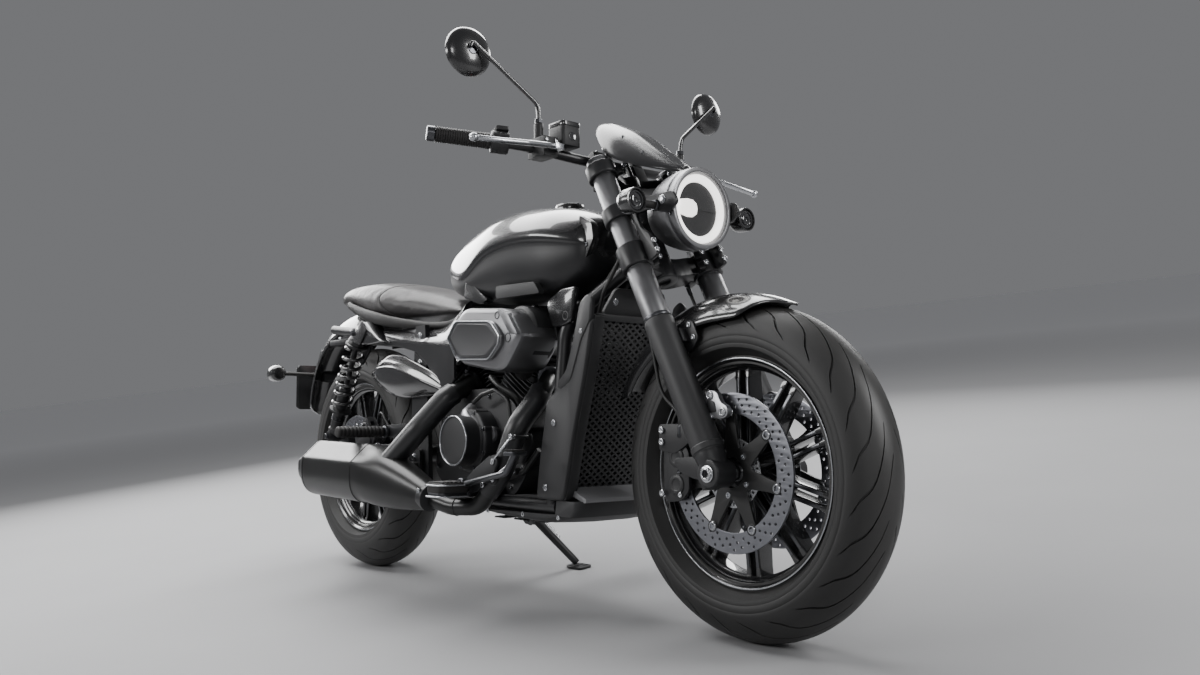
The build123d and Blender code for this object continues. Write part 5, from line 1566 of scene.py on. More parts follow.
piece("side_panels_moulded", panels, [gloss_black, satin_black], "chassis", ["side_panels"],
      bevel=0.6, angle=30)
piece("lower_covers_ridged", covers, [gloss_black, dark_metal], "chassis", ["battery_covers"],
      smooth=1, angle=40)

# %% [markdown]
# ## Tail
# The rear mudguard wraps the wheel's top. A small lamp sits on its back, and an arm carries the blank
# plate and the round signals.

# %% Rear mudguard, lamp, plate and signals
def rear_spread(share):
    """The rear mudguard's half angle: even, but drawn in at both ends."""
    ends = min(1, (share / 0.05) ** 0.6, ((1 - share) / 0.05) ** 0.6)
    return 75 * max(0.3, ends) - 4 * math.sin(share * math.pi)


TAIL = rear_at(-53, 0, 139)
guard = mudguard(TAIL, 299, 92, 4, (68, 182), rear_spread)
for side in SIDES:
    for x, z in ((30, 352), (-80, 352), (-20, 250), (-55, 205)):
        guard.join(screw(rear_at(x, side * 88.5, z), (0, side, 0), 6.5, 4, kind="hexagon"), 1)
    guard.join(box(rear_at(-70, side * 84, 330), rear_at(60, side * 126, 346)), 2)
piece("rear_mudguard", guard, [gloss_black, bright_screw, frame_black], "chassis", ["rear_fender"],
      bevel=0.6, angle=40)


def lamp_spread(half, least, over):
    """An even half angle that narrows to its least share at both ends."""
    return lambda share: half * max(least, min(1, share / over, (1 - share) / over))


lamp = mudguard(TAIL, 325, 118, 25.6, (140.3, 153.7), lamp_spread(24, 0.75, 0.12), 1.5)
lens = mudguard(TAIL, 325.6, 118.6, 8, (143, 151), lamp_spread(20, 0.8, 0.15), 0.5)
lamp.join(lens, 1)
for side in SIDES:
    spot = rear_at(-366, side * 165, 260)
    cup = [(8, -20), (19, -18), (25, -12), (26, -4), (26, 18), (25, 21), (23, 22), (22, 18), (0, 18)]
    lamp.join(turned(spot, (-1, 0, 0), cup, 40))
    lamp.join(turned(spot, (-1, 0, 0), [(22.4, 18), (18, 21.4), (10, 23.2), (0, 24)], 36), 2)
    lamp.join(bar(rear_at(-366, side * 30.3, 258), spot, 6.6, 20, 3))
    lamp.join(turned(rear_at(-366, side * 30.3, 258), LEFT * side, [(10, 0), (9, 8), (7, 14)], 20), 3)
piece("tail_lamp", lamp, [gloss_plastic, red_lens, smoked_lens, rubber], "chassis", ["rear_lamps"],
      bevel=0.8, angle=40)

plate = Clay()
outline = softened([rear_at(-392, y, z) for y, z in ((-88, 150), (88, 150), (88, 285), (-88, 285))], 9)
plate.join(slab(outline, FORWARD, 2.2), 1)
backing = softened([rear_at(-389.6, y, z) for y, z in ((-84, 146), (84, 146), (84, 289), (-84, 289))], 10)
plate.join(slab(backing, FORWARD, 3.4))
arm = outline_at(rear_at, ((-386, 235), (-386, 268), (-340, 270), (-309, 262), (-304, 236),
                           (-345, 232)), -30, 6)
plate.join(slab(arm, LEFT, 60))
for y, z in ((-60, 262), (60, 262)):
    plate.join(screw(rear_at(-392, y, z), (-1, 0, 0), 4.5, 2.5), 2)
for z in (244, 260):
    plate.join(screw(rear_at(-362, -30, z), (0, -1, 0), 4.5, 3), 2)
plate.join(box(rear_at(-391, -20, 288), rear_at(-372, 20, 300)))
piece("plate_carrier", plate, [dark_plastic, guard_grey, bright_screw], "chassis",
      ["plate_bracket"], bevel=1)


# %% [markdown]
# ## Engine
# The engine is a V-twin: a crankcase with a split down its middle, two leaning cylinders with cooling
# fins, rounded heads with bolts, and round covers on both sides. All of it is placed from the crank.

# %% Crankcase and side covers
CASE = [(-217, -76), (-162, -126), (138, -126), (183, -76), (183, 24), (128, 94), (38, 124),
        (-82, 124), (-182, 64)]
case = Clay()
for y_from, y_to in ((-105, -3), (-2.4, 2.4), (3, 74)):
    inset = 0 if abs(y_from) > 2.5 else 4
    outline = [(x * (1 - inset / 150), z * (1 - inset / 120)) for x, z in CASE]
    case.join(crank_plate(outline, y_from, y_to, 16))
left_cover = [(x, z) for x, z in CASE if x > -140] + [(-120, 112), (-130, -120)]
case.join(crank_plate(sorted(left_cover, key=lambda p: math.atan2(p[1], p[0])), 74, 104, 14))
for side, out in ((-1, 105), (1, 104)):
    for x, z in CASE:
        if side < 0 or x > -100:
            spot = crank_at(x * 0.9, side * (out - 2), z * 0.86)
            case.join(turned(spot, (0, side, 0), [(9, -14), (9, 2.4), (8, 3)], 18))
            case.join(screw(spot + LEFT * side * 3, (0, side, 0), 4.4, 4), 1)
for z in (-60, -30, 0, 30):
    case.join(crank_plate([(150, z), (186, z - 6), (186, z), (150, z + 6)], -96, 70))
case.join(turned(crank_at(30, 0, -110), (0, 0, -1), [(16, 0), (16, 18), (14, 20)], 6))
piece("crankcase", case, [engine_black, dark_metal], "chassis", ["engine_case"], bevel=3, segments=3)

covers = turned(CRANK, -LEFT, [(76, 104), (76, 140), (74, 145), (70, 147), (62, 147.4), (60.6, 149),
                               (60, 152), (60, 182), (59.4, 187), (0, 187)], 80)
ring = [(59.4, 184), (60.1, 188.4), (58.8, 190), (56.6, 190), (55.8, 188.2), (55.6, 185)]
covers.join(turned(CRANK, -LEFT, ring, 80, loop=True), 1)
covers.join(turned(CRANK, -LEFT, [(55.4, 186.6), (40, 188), (0, 188.6)], 80), 2)
for bolt in range(8):
    spot = around(CRANK, 70, 22 + bolt * 45, -143)
    covers.join(turned(spot, -LEFT, [(8, -34), (8, 1), (7, 2)], 18))
    covers.join(screw(spot - LEFT * 2, -LEFT, 4.4, 4.5), 3)
piece("clutch_cover_round", covers, [engine_black, machined_and_highlights, guard_grey, dark_metal], "chassis",
      ["clutch_cover"], bevel=0.6)

covers = turned(CRANK, LEFT, [(68, 104), (68, 138), (65, 144), (58, 147), (54, 147.4), (52, 146),
                              (30, 147.5), (0, 149)], 72)
for bolt in range(6):
    spot = around(CRANK, 61, 15 + bolt * 60, 144)
    covers.join(turned(spot, LEFT, [(8, -38), (8, 1), (7, 2)], 18))
    covers.join(screw(spot + LEFT * 2, LEFT, 4.4, 4), 1)
for rib in range(5):
    covers.join(box(crank_at(-30 + rib * 14, 144, -38), crank_at(-26 + rib * 14, 149, 38)))
piece("generator_cover_ribbed", covers, [engine_black, dark_metal], "chassis",
      ["generator_cover"], bevel=0.8)

plumbing = crank_pipe([(-22, -120, 78), (-6, -150, 62), (34, -152, 28), (56, -118, 2)], 24, 13, 24)
plumbing.join(turned(crank_at(64, -122, 12), (0.3, -1, 0.1), [(22, -14), (22, 4), (18, 8), (8, 9)], 28), 3)
plumbing.join(screw(crank_at(66, -131, 13), (0.3, -1, 0.1), 5, 4), 1)
for path in ([(150, -88, 60), (164, -120, 104), (110, -132, 128), (60, -120, 150)],
             [(40, -118, -60), (120, -124, -90), (190, -118, -70), (240, -112, -20)],
             [(120, -60, 168), (170, -70, 214), (230, -50, 236), (300, -40, 226)]):
    plumbing.join(crank_pipe(path, 30, 6.5, 14), 2)
loop = [(15, -140, 90), (60, -146, 108), (120, -150, 118), (174, -150, 94), (186, -150, 30)]
plumbing.join(crank_pipe(loop, 30, 5, 14), 2)
piece("water_pipes", plumbing, [cast_alloy, bright_screw, hose_rubber, cast_grey], "chassis")

# %% Finned cylinders and heads
top_end = Clay()
for angle, plug in ((33, 1), (-33, -1)):
    lean = math.radians(angle)
    up, ahead = Vector((math.sin(lean), 0, math.cos(lean))), Vector((math.cos(lean), 0, -math.sin(lean)))

    def storey(low, high, half, deep, radius, finish=0):
        """A rounded block across the leaning cylinder, between two heights above the crank."""
        corners = [CRANK + up * low + ahead * a + LEFT * b
                   for a, b in ((-half, -deep), (half, -deep), (half, deep), (-half, deep))]
        return slab(softened(corners, radius), up, high - low, finish)

    top_end.join(storey(92, 200, 48, 60, 22))
    for fin in range(9):
        top_end.join(storey(104 + fin * 11, 107 + fin * 11, 60, 72, 20, 1))
    top_end.join(storey(200, 214, 64, 76, 14))
    for fin in range(3):
        top_end.join(storey(219 + fin * 9, 222 + fin * 9, 68, 78, 14, 1))
    top_end.join(storey(212, 252, 60, 72, 14))
    top_end.join(storey(252, 262, 54, 66, 12))
    top_end.join(storey(262, 268, 46, 58, 12))
    for a, b in ((-44, -56), (44, -56), (44, 56), (-44, 56), (0, -58), (0, 58)):
        top_end.join(screw(CRANK + up * 261 + ahead * a + LEFT * b, up, 5, 5), 2)
    for a in (-40, 0, 40):
        top_end.join(screw(CRANK + up * 207 + ahead * a - LEFT * 76, -LEFT, 5, 4), 2)
    cap = CRANK + up * 236 + ahead * plug * 30 - LEFT * 72
    top_end.join(bar(cap + LEFT * 8, cap - LEFT * 22, 9, 16, 3, 2))
    top_end.join(pipe([cap - LEFT * 18, cap - LEFT * 26 + up * 26, cap + up * 54,
                       cap + LEFT * 50 + up * 62], 18, 3.4, 10, 5), 3)
piece("finned_cylinders", top_end, [engine_black, cast_grey, bright_screw, rubber], "chassis",
      ["cylinders"], bevel=1.0)
print("cylinder triangles:", triangles["finned_cylinders"])

# %% Air cleaner
OUTER = [(0, 243), (34, 300), (62, 311), (208, 298), (249, 284), (287, 233), (266, 206), (224, 160),
         (190, 154), (44, 178)]
HEXAGON = [(6, 243), (34, 277), (46, 282), (184, 271), (197, 265), (227, 235), (223, 214), (190, 186),
           (178, 181), (56, 187), (44, 192)]
CLEANER_MIDDLE = Vector((118, 233))


def shrunk(outline, by):
    """The outline with each point drawn so far in towards the air cleaner's middle."""
    made = []
    for x, z in outline:
        away = Vector((x, z)) - CLEANER_MIDDLE
        made.append(tuple(CLEANER_MIDDLE + away * (1 - by / away.length)))
    return made


def crank_rings(levels, radius):
    """Outlines from the crank at growing |y| on the right side, joined into one form."""
    return Clay().rings([softened([crank_at(x, y, z) for x, z in outline], radius, 3)
                         for outline, y in levels])


levels = ((6, -80), (0, -96), (0, -182), (3, -190), (10, -196), (16, -198))
cleaner = crank_rings([(shrunk(OUTER, by), y) for by, y in levels], 14)
for finish, levels in enumerate((((0, -190), (0, -205), (2, -208)),
                                 ((1.6, -206), (1.8, -211.4), (5.4, -212), (6.2, -206)),
                                 ((7, -204), (8, -208.4), (19, -210.6), (22, -210.2)))):
    cleaner.join(crank_rings([(shrunk(HEXAGON, by), y) for by, y in levels], 5), finish)
beak = [([(196, 300), (244, 288), (286, 234), (262, 232)], -170),
        ([(200, 296), (240, 284), (279, 234), (250, 236)], -200)]
cleaner.join(crank_rings(beak, 6))
for x, z, wide in ((199, 282, 9), (241, 229, 11)):
    plug = [(wide, 0), (wide, 1.4), (wide - 2, 1.4), (wide - 3, -0.6), (0, -0.6)]
    cleaner.join(turned(crank_at(x, -197.5, z), -LEFT, plug, 24), 3)
cleaner.join(turned(crank_at(208, -84, 240), -LEFT, [(62, 0), (66, 6), (66, 56), (60, 64)], 48), 3)
cleaner.join(crank_pipe([(150, -90, 190), (150, -70, 168), (90, -40, 160)], 24, 26, 24), 4)
piece("air_cleaner_hexagon", cleaner, [gunmetal, machined_and_highlights, cast_grey, dark_plastic, rubber], "chassis",
      ["air_cleaner"], bevel=0.7, angle=25)

# %% [markdown]
# ## Radiator
# The core is a stack of thin fins behind a mesh of crossed wires. Two wings and a grey lip frame it.

# %% Radiator, mesh, wings and pan
radiator = Clay()
top_front, low_front = crank_at(450, 0, 264), crank_at(343, 0, -114)
down = (low_front - top_front).normalized()
ahead = LEFT.cross(down)
if ahead.x < 0:
    ahead = -ahead
tall = (low_front - top_front).length


def core_at(across, along, out):
    """A point measured from the middle of the core's top edge: to the left, down along it and ahead."""
    return top_front + LEFT * across + down * along + ahead * out


def core_block(first, second, near, far, low, high):
    """A block of the core between two widths, two depths and two places down it."""
    ring = [core_at(across, low, out)
            for across, out in ((first, near), (second, near), (second, far), (first, far))]
    return slab(ring, down, high - low)


FINS, FIN_THICK, CORE_HALF, FRAME_HALF, TANK_TALL = 62, 1.2, 96, 112, 14
for fin in range(FINS):
    along = TANK_TALL + fin * (tall - 2 * TANK_TALL) / (FINS - 1)
    radiator.join(core_block(-CORE_HALF, CORE_HALF, -3, -26, along, along + FIN_THICK))
for across in range(-CORE_HALF, CORE_HALF + 1, 24):
    radiator.join(core_block(across - 3, across + 3, -6, -24, 8, tall - 8))
for low, high in ((0, TANK_TALL), (tall - TANK_TALL, tall)):
    radiator.join(core_block(-FRAME_HALF, FRAME_HALF, -1, -31, low, high), 1)
for side in SIDES:
    radiator.join(core_block(side * CORE_HALF, side * FRAME_HALF, -1, -31, 0, tall), 1)
MESH_HALF, MESH_PITCH, MESH_SLOPE, WIRE = 106, 20.0, 1.3, 2.5
for lean in (-1, 1):
    for wire in range(-int(tall * MESH_SLOPE / MESH_PITCH), int(2 * MESH_HALF / MESH_PITCH) + 1):
        start = -MESH_HALF + wire * MESH_PITCH
        low_y, high_y = max(-MESH_HALF, start), min(MESH_HALF, start + (tall - 12) * MESH_SLOPE)
        if high_y - low_y > 4:
            low, high = (core_at(lean * y, 6 + (y - start) / MESH_SLOPE, 2.5 + lean * 0.2)
                         for y in (low_y, high_y))
            wide = (high - low).cross(ahead).normalized() * WIRE
            radiator.join(slab([low - wide, low + wide, high + wide, high - wide], ahead, 1.6), 2)
piece("radiator_core", radiator, [carrier_black, frame_black, guard_grey], "chassis", ["radiator"])
print("radiator triangles:", triangles["radiator_core"])

shroud = Clay()
WING = [(462, 262), (434, 145), (392, 3), (366, -103), (356, -127.5), (262, -127.5), (276, -40), (290, 25),
        (300, 84), (340, 116), (384, 142), (390, 172), (405, 222), (430, 262)]
LIP = [(464, 264), (436, 145), (394, 3), (368, -103), (358, -126), (336, -126), (352, -60), (380, 30),
       (414, 145), (440, 264)]
STRIP = [(460, 258), (464, 300), (448, 312), (426, 300), (408, 240), (390, 186), (372, 144), (340, 118),
         (352, 108), (388, 126), (408, 168), (428, 216)]
for side in SIDES:
    ring = outline_at(crank_at, WING, side * 127.5, 12)
    shroud.join(dome(ring, (0, side, 0), 12, ((0, 1), (0.4, 0.997), (0.75, 0.98), (0.93, 0.955),
                                              (1.0, 0.92))))
    shroud.join(crank_plate(LIP, side * 105, side * 130, 4))
    shroud.join(dome(outline_at(crank_at, STRIP, side * 132, 8), (0, side, 0), 10,
                     ((0, 1), (0.7, 0.98), (1, 0.9))), 1)
    for x, z in ((428, 232), (330, 40), (300, -100)):
        shroud.join(screw(crank_at(x, side * 140.6, z), (0, side, 0), 6, 3, kind="hexagon"), 2)
brow = [core_at(across, -6, out) for across, out in ((-118, -2), (118, -2), (112, 9), (-112, 9))]
shroud.join(slab(brow, down, 14))
chin = [(340, -102), (346, -98), (404, -122), (405, -130), (398, -131), (342, -112)]
shroud.join(crank_plate(chin, -112, 112, 2, 3))
throat = [core_at(y, along, -14) for y, along in ((-96, -4), (96, -4), (70, -62), (-70, -62))]
shroud.join(slab(softened(throat, 10), ahead, 8), 1)
for side in SIDES:
    shroud.join(screw(core_at(side * 66, -32, -6), ahead, 6, 3, kind="hexagon"), 2)
piece("radiator_wings", shroud, [guard_grey, guard_grey, bright_screw, chin_grey], "chassis",
      ["radiator_shroud"], bevel=1.2, angle=30)

pan = Clay()
PAN = [(402, -128), (399, -146), (388, -162), (352, -176), (282, -182), (188, -181), (90, -176), (0, -168),
       (-4, -161), (60, -158), (322, -158), (326, -128)]
rings = []
for y, by in ((-129, 20), (-127, 15), (-119, 8), (-100, 3), (-50, 0), (50, 0), (100, 3), (119, 8),
              (127, 15), (129, 20)):
    rings.append([crank_at(x - by * (0.9 if x > 340 else 0.1), y, z + (by * 0.8 if z < -165 else 0))
                  for x, z in PAN])
pan.join(Clay().rings(rings))
for x in (30, 110, 190):
    pan.join(crank_plate([(x, -184), (x + 44, -184), (x + 40, -180), (x + 4, -180)], -90, 90), 1)
for side in SIDES:
    for x in (60, 200, 330):
        pan.join(screw(crank_at(x, side * 127, -164), (0, side, 0), 5.5, 3), 2)
piece("belly_pan_formed", pan, [guard_grey, satin_black, bright_screw], "chassis", ["belly_pan"],
      bevel=2, segments=3)

# %% [markdown]
# ## Exhaust
# Both headers are bent tubes with flanges at the heads, weld beads and heat shields. The muffler is
# lofted along its middle line, with a stepped end cap and a dark outlet.

# %% Headers and muffler
headers = Clay()
REAR_PIPE = [(-66, -78, 146), (-72, -150, 112), (-116, -212, 28), (-205, -252, -70)]
FRONT_PIPE = [(188, -40, 152), (240, -100, 112), (225, -160, 40), (190, -176, -60), (110, -184, -150),
              (40, -212, -152), (-60, -240, -127)]
REAR_SHIELD = [(-74, -140, 116), (-78, -160, 102), (-116, -214, 28), (-212, -262, -78)]
FRONT_SHIELD = [(226, -96, 112), (238, -116, 92), (229, -162, 36), (194, -178, -62), (146, -184, -112)]
for route, bends, radius in ((REAR_PIPE, [60, 90], 23), (FRONT_PIPE, [50, 80, 90, 60, 90], 20)):
    path = rounded_path([crank_at(*point) for point in route], bends, 10)
    headers.join(tube(path, radius, 32))
    start = (path[1] - path[0]).normalized()
    flange = [(radius, 0), (radius + 8, 1), (radius + 8, 9), (radius, 10)]
    headers.join(turned(path[0] + start * 4, start, flange, 40, 1))
    for index in (int(len(path) * 0.36), int(len(path) * 0.8)):
        along = (path[index + 1] - path[index]).normalized()
        weld = [(radius + 0.2, -1.6), (radius + 1.4, 0), (radius + 0.2, 1.6)]
        headers.join(turned(path[index], along, weld, 40))
for route, bends, radius in ((REAR_SHIELD, [40, 90], 28), (FRONT_SHIELD, [40, 80, 90], 26)):
    headers.join(crank_pipe(route, bends, radius, 32, 10), 2)
piece("exhaust_pipes", headers, [exhaust_black, dark_metal, satin_black], "chassis",
      ["exhaust_headers"], angle=40)

MUFFLER = [(-645, -250, -74), (-270, -250, -84), (-20, -238, -131)]
tail, shoulder, nose = (crank_at(*point) for point in MUFFLER)
back = (shoulder - tail).normalized()
reach = (shoulder - tail).length


def can_ring(centre, heading, wide, high, facet=1.0):
    """A rounded section across the muffler, with one flat cut on its outer shoulder."""
    _, up, _ = facing(heading, (0, 0, 1))
    ring = []
    for turn in turns_of(80):
        c, s = math.cos(turn), math.sin(turn)
        out, rise = -math.copysign(abs(c) ** 0.8, c), math.copysign(abs(s) ** 0.8, s)
        cut = 1 - facet + facet * 0.9 / max(0.9, out * 0.593 + rise * 0.805)
        ring.append(centre - LEFT * wide * out * cut + up * high * rise * cut)
    return ring


CAN = [(0, 36, 44), (8, 37, 45), (26, 42, 52), (32, 42, 52), (32, 44, 55), (44, 50, 63), (58, 55, 70),
       (66, 57, 72.5), (72, 57.6, 73), (72.5, 56, 71), (76, 56, 71), (76.5, 58, 73.5), (reach - 30, 58, 74),
       (reach - 29, 59.4, 75.4), (reach - 22, 59.4, 75.4), (reach - 21, 58, 74), (reach, 57, 72)]
rings = [can_ring(tail + back * place, back, wide, high) for place, wide, high in CAN]
for step in range(1, 15):
    share = step / 14
    heading = (nose - shoulder).normalized().lerp(back, max(0, 1 - share * 3)).normalized()
    wide, high, facet = 57 - 27 * share ** 1.5, 72 - 41 * share ** 1.7, max(0, 1 - share * 4)
    rings.append(can_ring(shoulder.lerp(nose, share), heading, wide, high, facet))
muffler = Clay().rings(rings, caps=False)
muffler.join(turned(nose, nose - shoulder, [(27, -14), (33, -12), (33, 8), (27, 10)], 48), 1)
muffler.join(screw(nose + Vector((0, -30, 10)), (0, 0, 1), 5, 12), 2)
outlet = ((1, 36.2, 44.2), (8, 33, 41), (60, 33, 41), (61, 2, 2))
outlet_rings = [can_ring(tail + back * place, back, wide, high) for place, wide, high in outlet]
muffler.join(Clay().rings(outlet_rings, caps=False), 3)
hanger = outline_at(crank_at, ((-268, -104), (-216, -104), (-222, -56), (-262, -56)), -200, 8)
muffler.join(slab(hanger, (0, 1, 0), 60))
muffler.join(crank_plate([(-270, -84), (-214, -84), (-214, -24), (-270, -24)], -152, -144, 10), 1)
muffler.join(screw(crank_at(-242, -152, -44), -LEFT, 7, 5, kind="hexagon"), 2)
piece("muffler_shaped", muffler, [exhaust_black, satin_black, bright_screw, engine_black], "chassis",
      ["muffler"], angle=30)


# %% [markdown]
# ## Rear suspension
# Box-section arms carry the axle in long slots with adjusters. Each shock is a damper inside a real coil:
# a round wire that climbs in a helix between two cups.

# %% Swingarm
PIVOT = crank_at(-272, 0, -36)
arms = Clay()
for side in SIDES:
    outline = [rear_at(x, 0, z) for x, z in ((-34, -22), (-34, 22), (-6, 34), (8, 76), (30, 86),
                                             (50, 78), (66, 34))]
    outline += [PIVOT + Vector((x, 0, z)) for x, z in ((-20, 26), (20, 24), (24, -22), (-10, -26))]
    outline += [rear_at(60, 0, -27)]
    soft = softened(outline, 14)
    arms.join(slab([point + LEFT * side * 105 for point in soft], (0, side, 0), 22))
    window = [rear_at(x, 0, z) for x, z in ((-22, -9), (-22, 9), (24, 9), (24, -9))]
    arms.join(slab([point + LEFT * side * 126 for point in softened(window, 7)], (0, side, 0), 1.8), 1)
    arms.join(turned(rear_at(0, side * 127, 0), (0, side, 0), [(17, 0), (17, 3), (15, 4)], 6), 1)
    arms.join(turned(rear_at(0, side * 131, 0), (0, side, 0), [(12, 0), (12, 7), (10, 9), (8, 9)], 6), 2)
    arms.join(bar(rear_at(-48, side * 116, 0), rear_at(-30, side * 116, 0), 4, 12, 2, 1))
    arms.join(turned(rear_at(-38, side * 116, 0), (-1, 0, 0), [(7.5, 0), (7.5, 5)], 6), 2)
    arms.join(bar(rear_at(30, side * 126, 62), rear_at(30, side * 139, 62), 12, 24, 0, 1.5))
piece("swingarm_box", arms, [frame_black, dark_metal, bright_screw], "chassis", ["swingarm_arms"],
      bevel=2.2, segments=3)

spindle = turned(REAR_AXLE, LEFT, [(8, -141), (10, -140), (10, 140), (8, 141)], 28, loop=True)
for side, inner in ((-1, 60.3), (1, 100.3)):
    spacer = [(10.1, inner), (15, inner + 0.5), (15, 104), (10.1, 104.6)]
    spindle.join(turned(REAR_AXLE, LEFT * side, spacer, 28, loop=True))
piece("rear_spindle", spindle, bright_screw, "chassis", ["rear_axle"])

# %% Shocks and their coils
shocks, coils = Clay(), Clay()
for side in SIDES:
    low, high = rear_at(30, side * 157.6, 62), rear_at(180, side * 157.6, 349)
    along = (high - low).normalized()
    length = (high - low).length
    across, up, _ = facing(along)
    shocks.join(turned(low, along, [(15, 8), (19, 16), (20, 24), (17, 28), (17, 78), (22, 80), (31, 82),
                                    (31, 87), (26, 89), (17, 91), (17, 150), (14, 154), (8, 155),
                                    (8, length - 44), (20, length - 42), (31, length - 39),
                                    (31, length - 33), (26, length - 31), (25, length - 22),
                                    (22, length - 16), (14, length - 8)], 48))
    for eye in (low, high):
        shocks.join(turned(eye - LEFT * 18, LEFT, [(7, 0), (14, 0), (15, 2), (15, 34), (14, 36), (7, 36)],
                           32, loop=True))
        nut = [(11, 0), (11, 1.5), (8.5, 2), (8.5, 8), (7, 9.5)]
        shocks.join(turned(eye + LEFT * side * 18, LEFT * side, nut, 6), 1)
        shocks.join(bar(eye - LEFT * 17.6, eye + LEFT * 17.6, 7, 16, 1))
    for ring in range(3):
        shocks.join(turned(low + along * (52 + ring * 5), along, [(17, 0), (19.4, 1), (19.4, 3), (17, 4)],
                           40), 1)
    start, end, turns, steps = 92, length - 44, 6.6, 20
    wire = []
    for step in range(int(turns * steps) + 1):
        share = step / (turns * steps)
        eased = share + 0.02 * math.sin(share * 2 * math.pi)
        turn = share * turns * 2 * math.pi
        wire.append(low + along * (start + (end - start) * eased)
                    + (across * math.cos(turn) + up * math.sin(turn)) * 26)
    coils.join(tube(wire, 5, 12))
piece("shock_bodies", shocks, [satin_black, dark_metal], "chassis", ["shocks"])
piece("shock_coils", coils, gloss_plastic, "chassis", ["shock_springs"])

# %% Rear caliper
brake = caliper(Vector(), -136, -76, -46, 46, 50.5, 83.5, (-19, 19), -1)
for z in (-34, 34):
    brake.join(screw(Vector((-104, -81, z)), (0, -1, 0), 5, 4), 1)
brake.join(bar(Vector((-118, -66, 40)), Vector((-118, -66, 58)), 6, 14, 1, 1))
brake = brake.moved(Matrix.Translation(REAR_AXLE) @ Matrix.Rotation(math.radians(140), 4, "Y"))
bracket = outline_at(rear_at, ((10, 18), (64, 76), (108, 66), (112, 20), (60, 0), (20, -14)), -77, 10)
brake.join(slab(bracket, -LEFT, 8))
brake.join(bar(rear_at(60, -84, 24), rear_at(60, -105, 24), 9, 18, 1, 1))
hose = [rear_at(128, -66, 120), rear_at(190, -90, 130), rear_at(270, -96, 60), rear_at(380, -96, 20)]
brake.join(pipe(hose, 50, 3.6, 12, 8), 2)
piece("rear_caliper_cast", brake, [cast_grey, bright_screw, hose_rubber], "chassis",
      ["rear_caliper"], bevel=1.2)

# %% Belt and pulleys
FINAL = crank_at(-187, 0, -20)
span = FINAL - REAR_AXLE
REAR_PULLEY, FRONT_PULLEY = 105, 36
opening = math.acos((REAR_PULLEY - FRONT_PULLEY) / span.length)
heading = math.atan2(span.z, span.x)


def belt_line(extra):
    """Points around both pulleys, extra millimetres above their teeth."""
    line = []
    arcs = ((REAR_AXLE, REAR_PULLEY + extra, heading + opening, heading - opening + 2 * math.pi),
            (FINAL, FRONT_PULLEY + extra, heading - opening, heading + opening))
    for centre, radius, start, end in arcs:
        count = int(abs(end - start) * radius / 7)
        for step in range(count + 1):
            turn = start + (end - start) * step / count
            line.append(centre + Vector((math.cos(turn), 0, math.sin(turn))) * radius)
    return line


belt = Clay()
inner_line, outer_line = belt_line(0.4), belt_line(4.3)
sections = [[a + LEFT * 82.5, a + LEFT * 99.5, b + LEFT * 99.5, b + LEFT * 82.5]
            for a, b in zip(inner_line, outer_line)]
belt.join(Clay().rings(sections, loop=True))
belt.join(turned(FINAL, LEFT, [(12, 78), (36, 80), (36, 81), (34, 82), (34, 99.5), (36, 100), (36, 102),
                               (12, 104)], 48), 1)
belt.join(turned(FINAL + LEFT * 103, LEFT, [(14, 0), (14, 8), (12, 10)], 6), 1)
piece("drive_belt_ribbed", belt, [rubber, dark_metal], "chassis", ["drive_belt"])

outer_band = [(94, 82), (105, 82), (105.4, 84), (104.4, 85), (104.4, 97), (105.4, 98),
              (105, 100), (94, 100)]
pulley = turned(REAR_AXLE, LEFT, outer_band, 96, loop=True)
pulley.join(turned(REAR_AXLE, LEFT, [(10.2, 60.2), (38, 61), (40, 64), (40, 88), (36, 96), (26, 100),
                                     (10.2, 100)], 48, loop=True))
windows = []
WINDOW = ((50, -20), (86, -26), (88, 0), (86, 26), (50, 20))
for spoke_turn in range(0, 360, 72):
    corners = [(*polar(r, spoke_turn + a), 0) for r, a in WINDOW]
    windows.append([(point.x, point.y) for point in softened(corners, 8)])
web = holed("web", ring2(96, 96), [ring2(24, 32)] + windows, 8, 1)
pulley.join(web.moved(onto(REAR_AXLE + LEFT * 90, (1, 0, 0), (0, 0, 1))))
TEETH = 84
for tooth in range(TEETH):
    ends = [around(REAR_AXLE, 104.2, tooth * 360 / TEETH, y) for y in (84, 98)]
    pulley.join(bar(*ends, 1.2, 6))
for bolt in range(5):
    pulley.join(screw(around(REAR_AXLE, 32, 36 + bolt * 72, 95), LEFT, 5, 5), 1)
piece("rear_pulley_windowed", pulley, [satin_black, bright_screw], "rear_wheel", ["rear_pulley"], bevel=0.4)

# %% [markdown]
# ## Frame details, pegs and stand
# The bare frame tubes keep their CAD shapes. Gusset covers, brackets and pivot bolts sit on them.

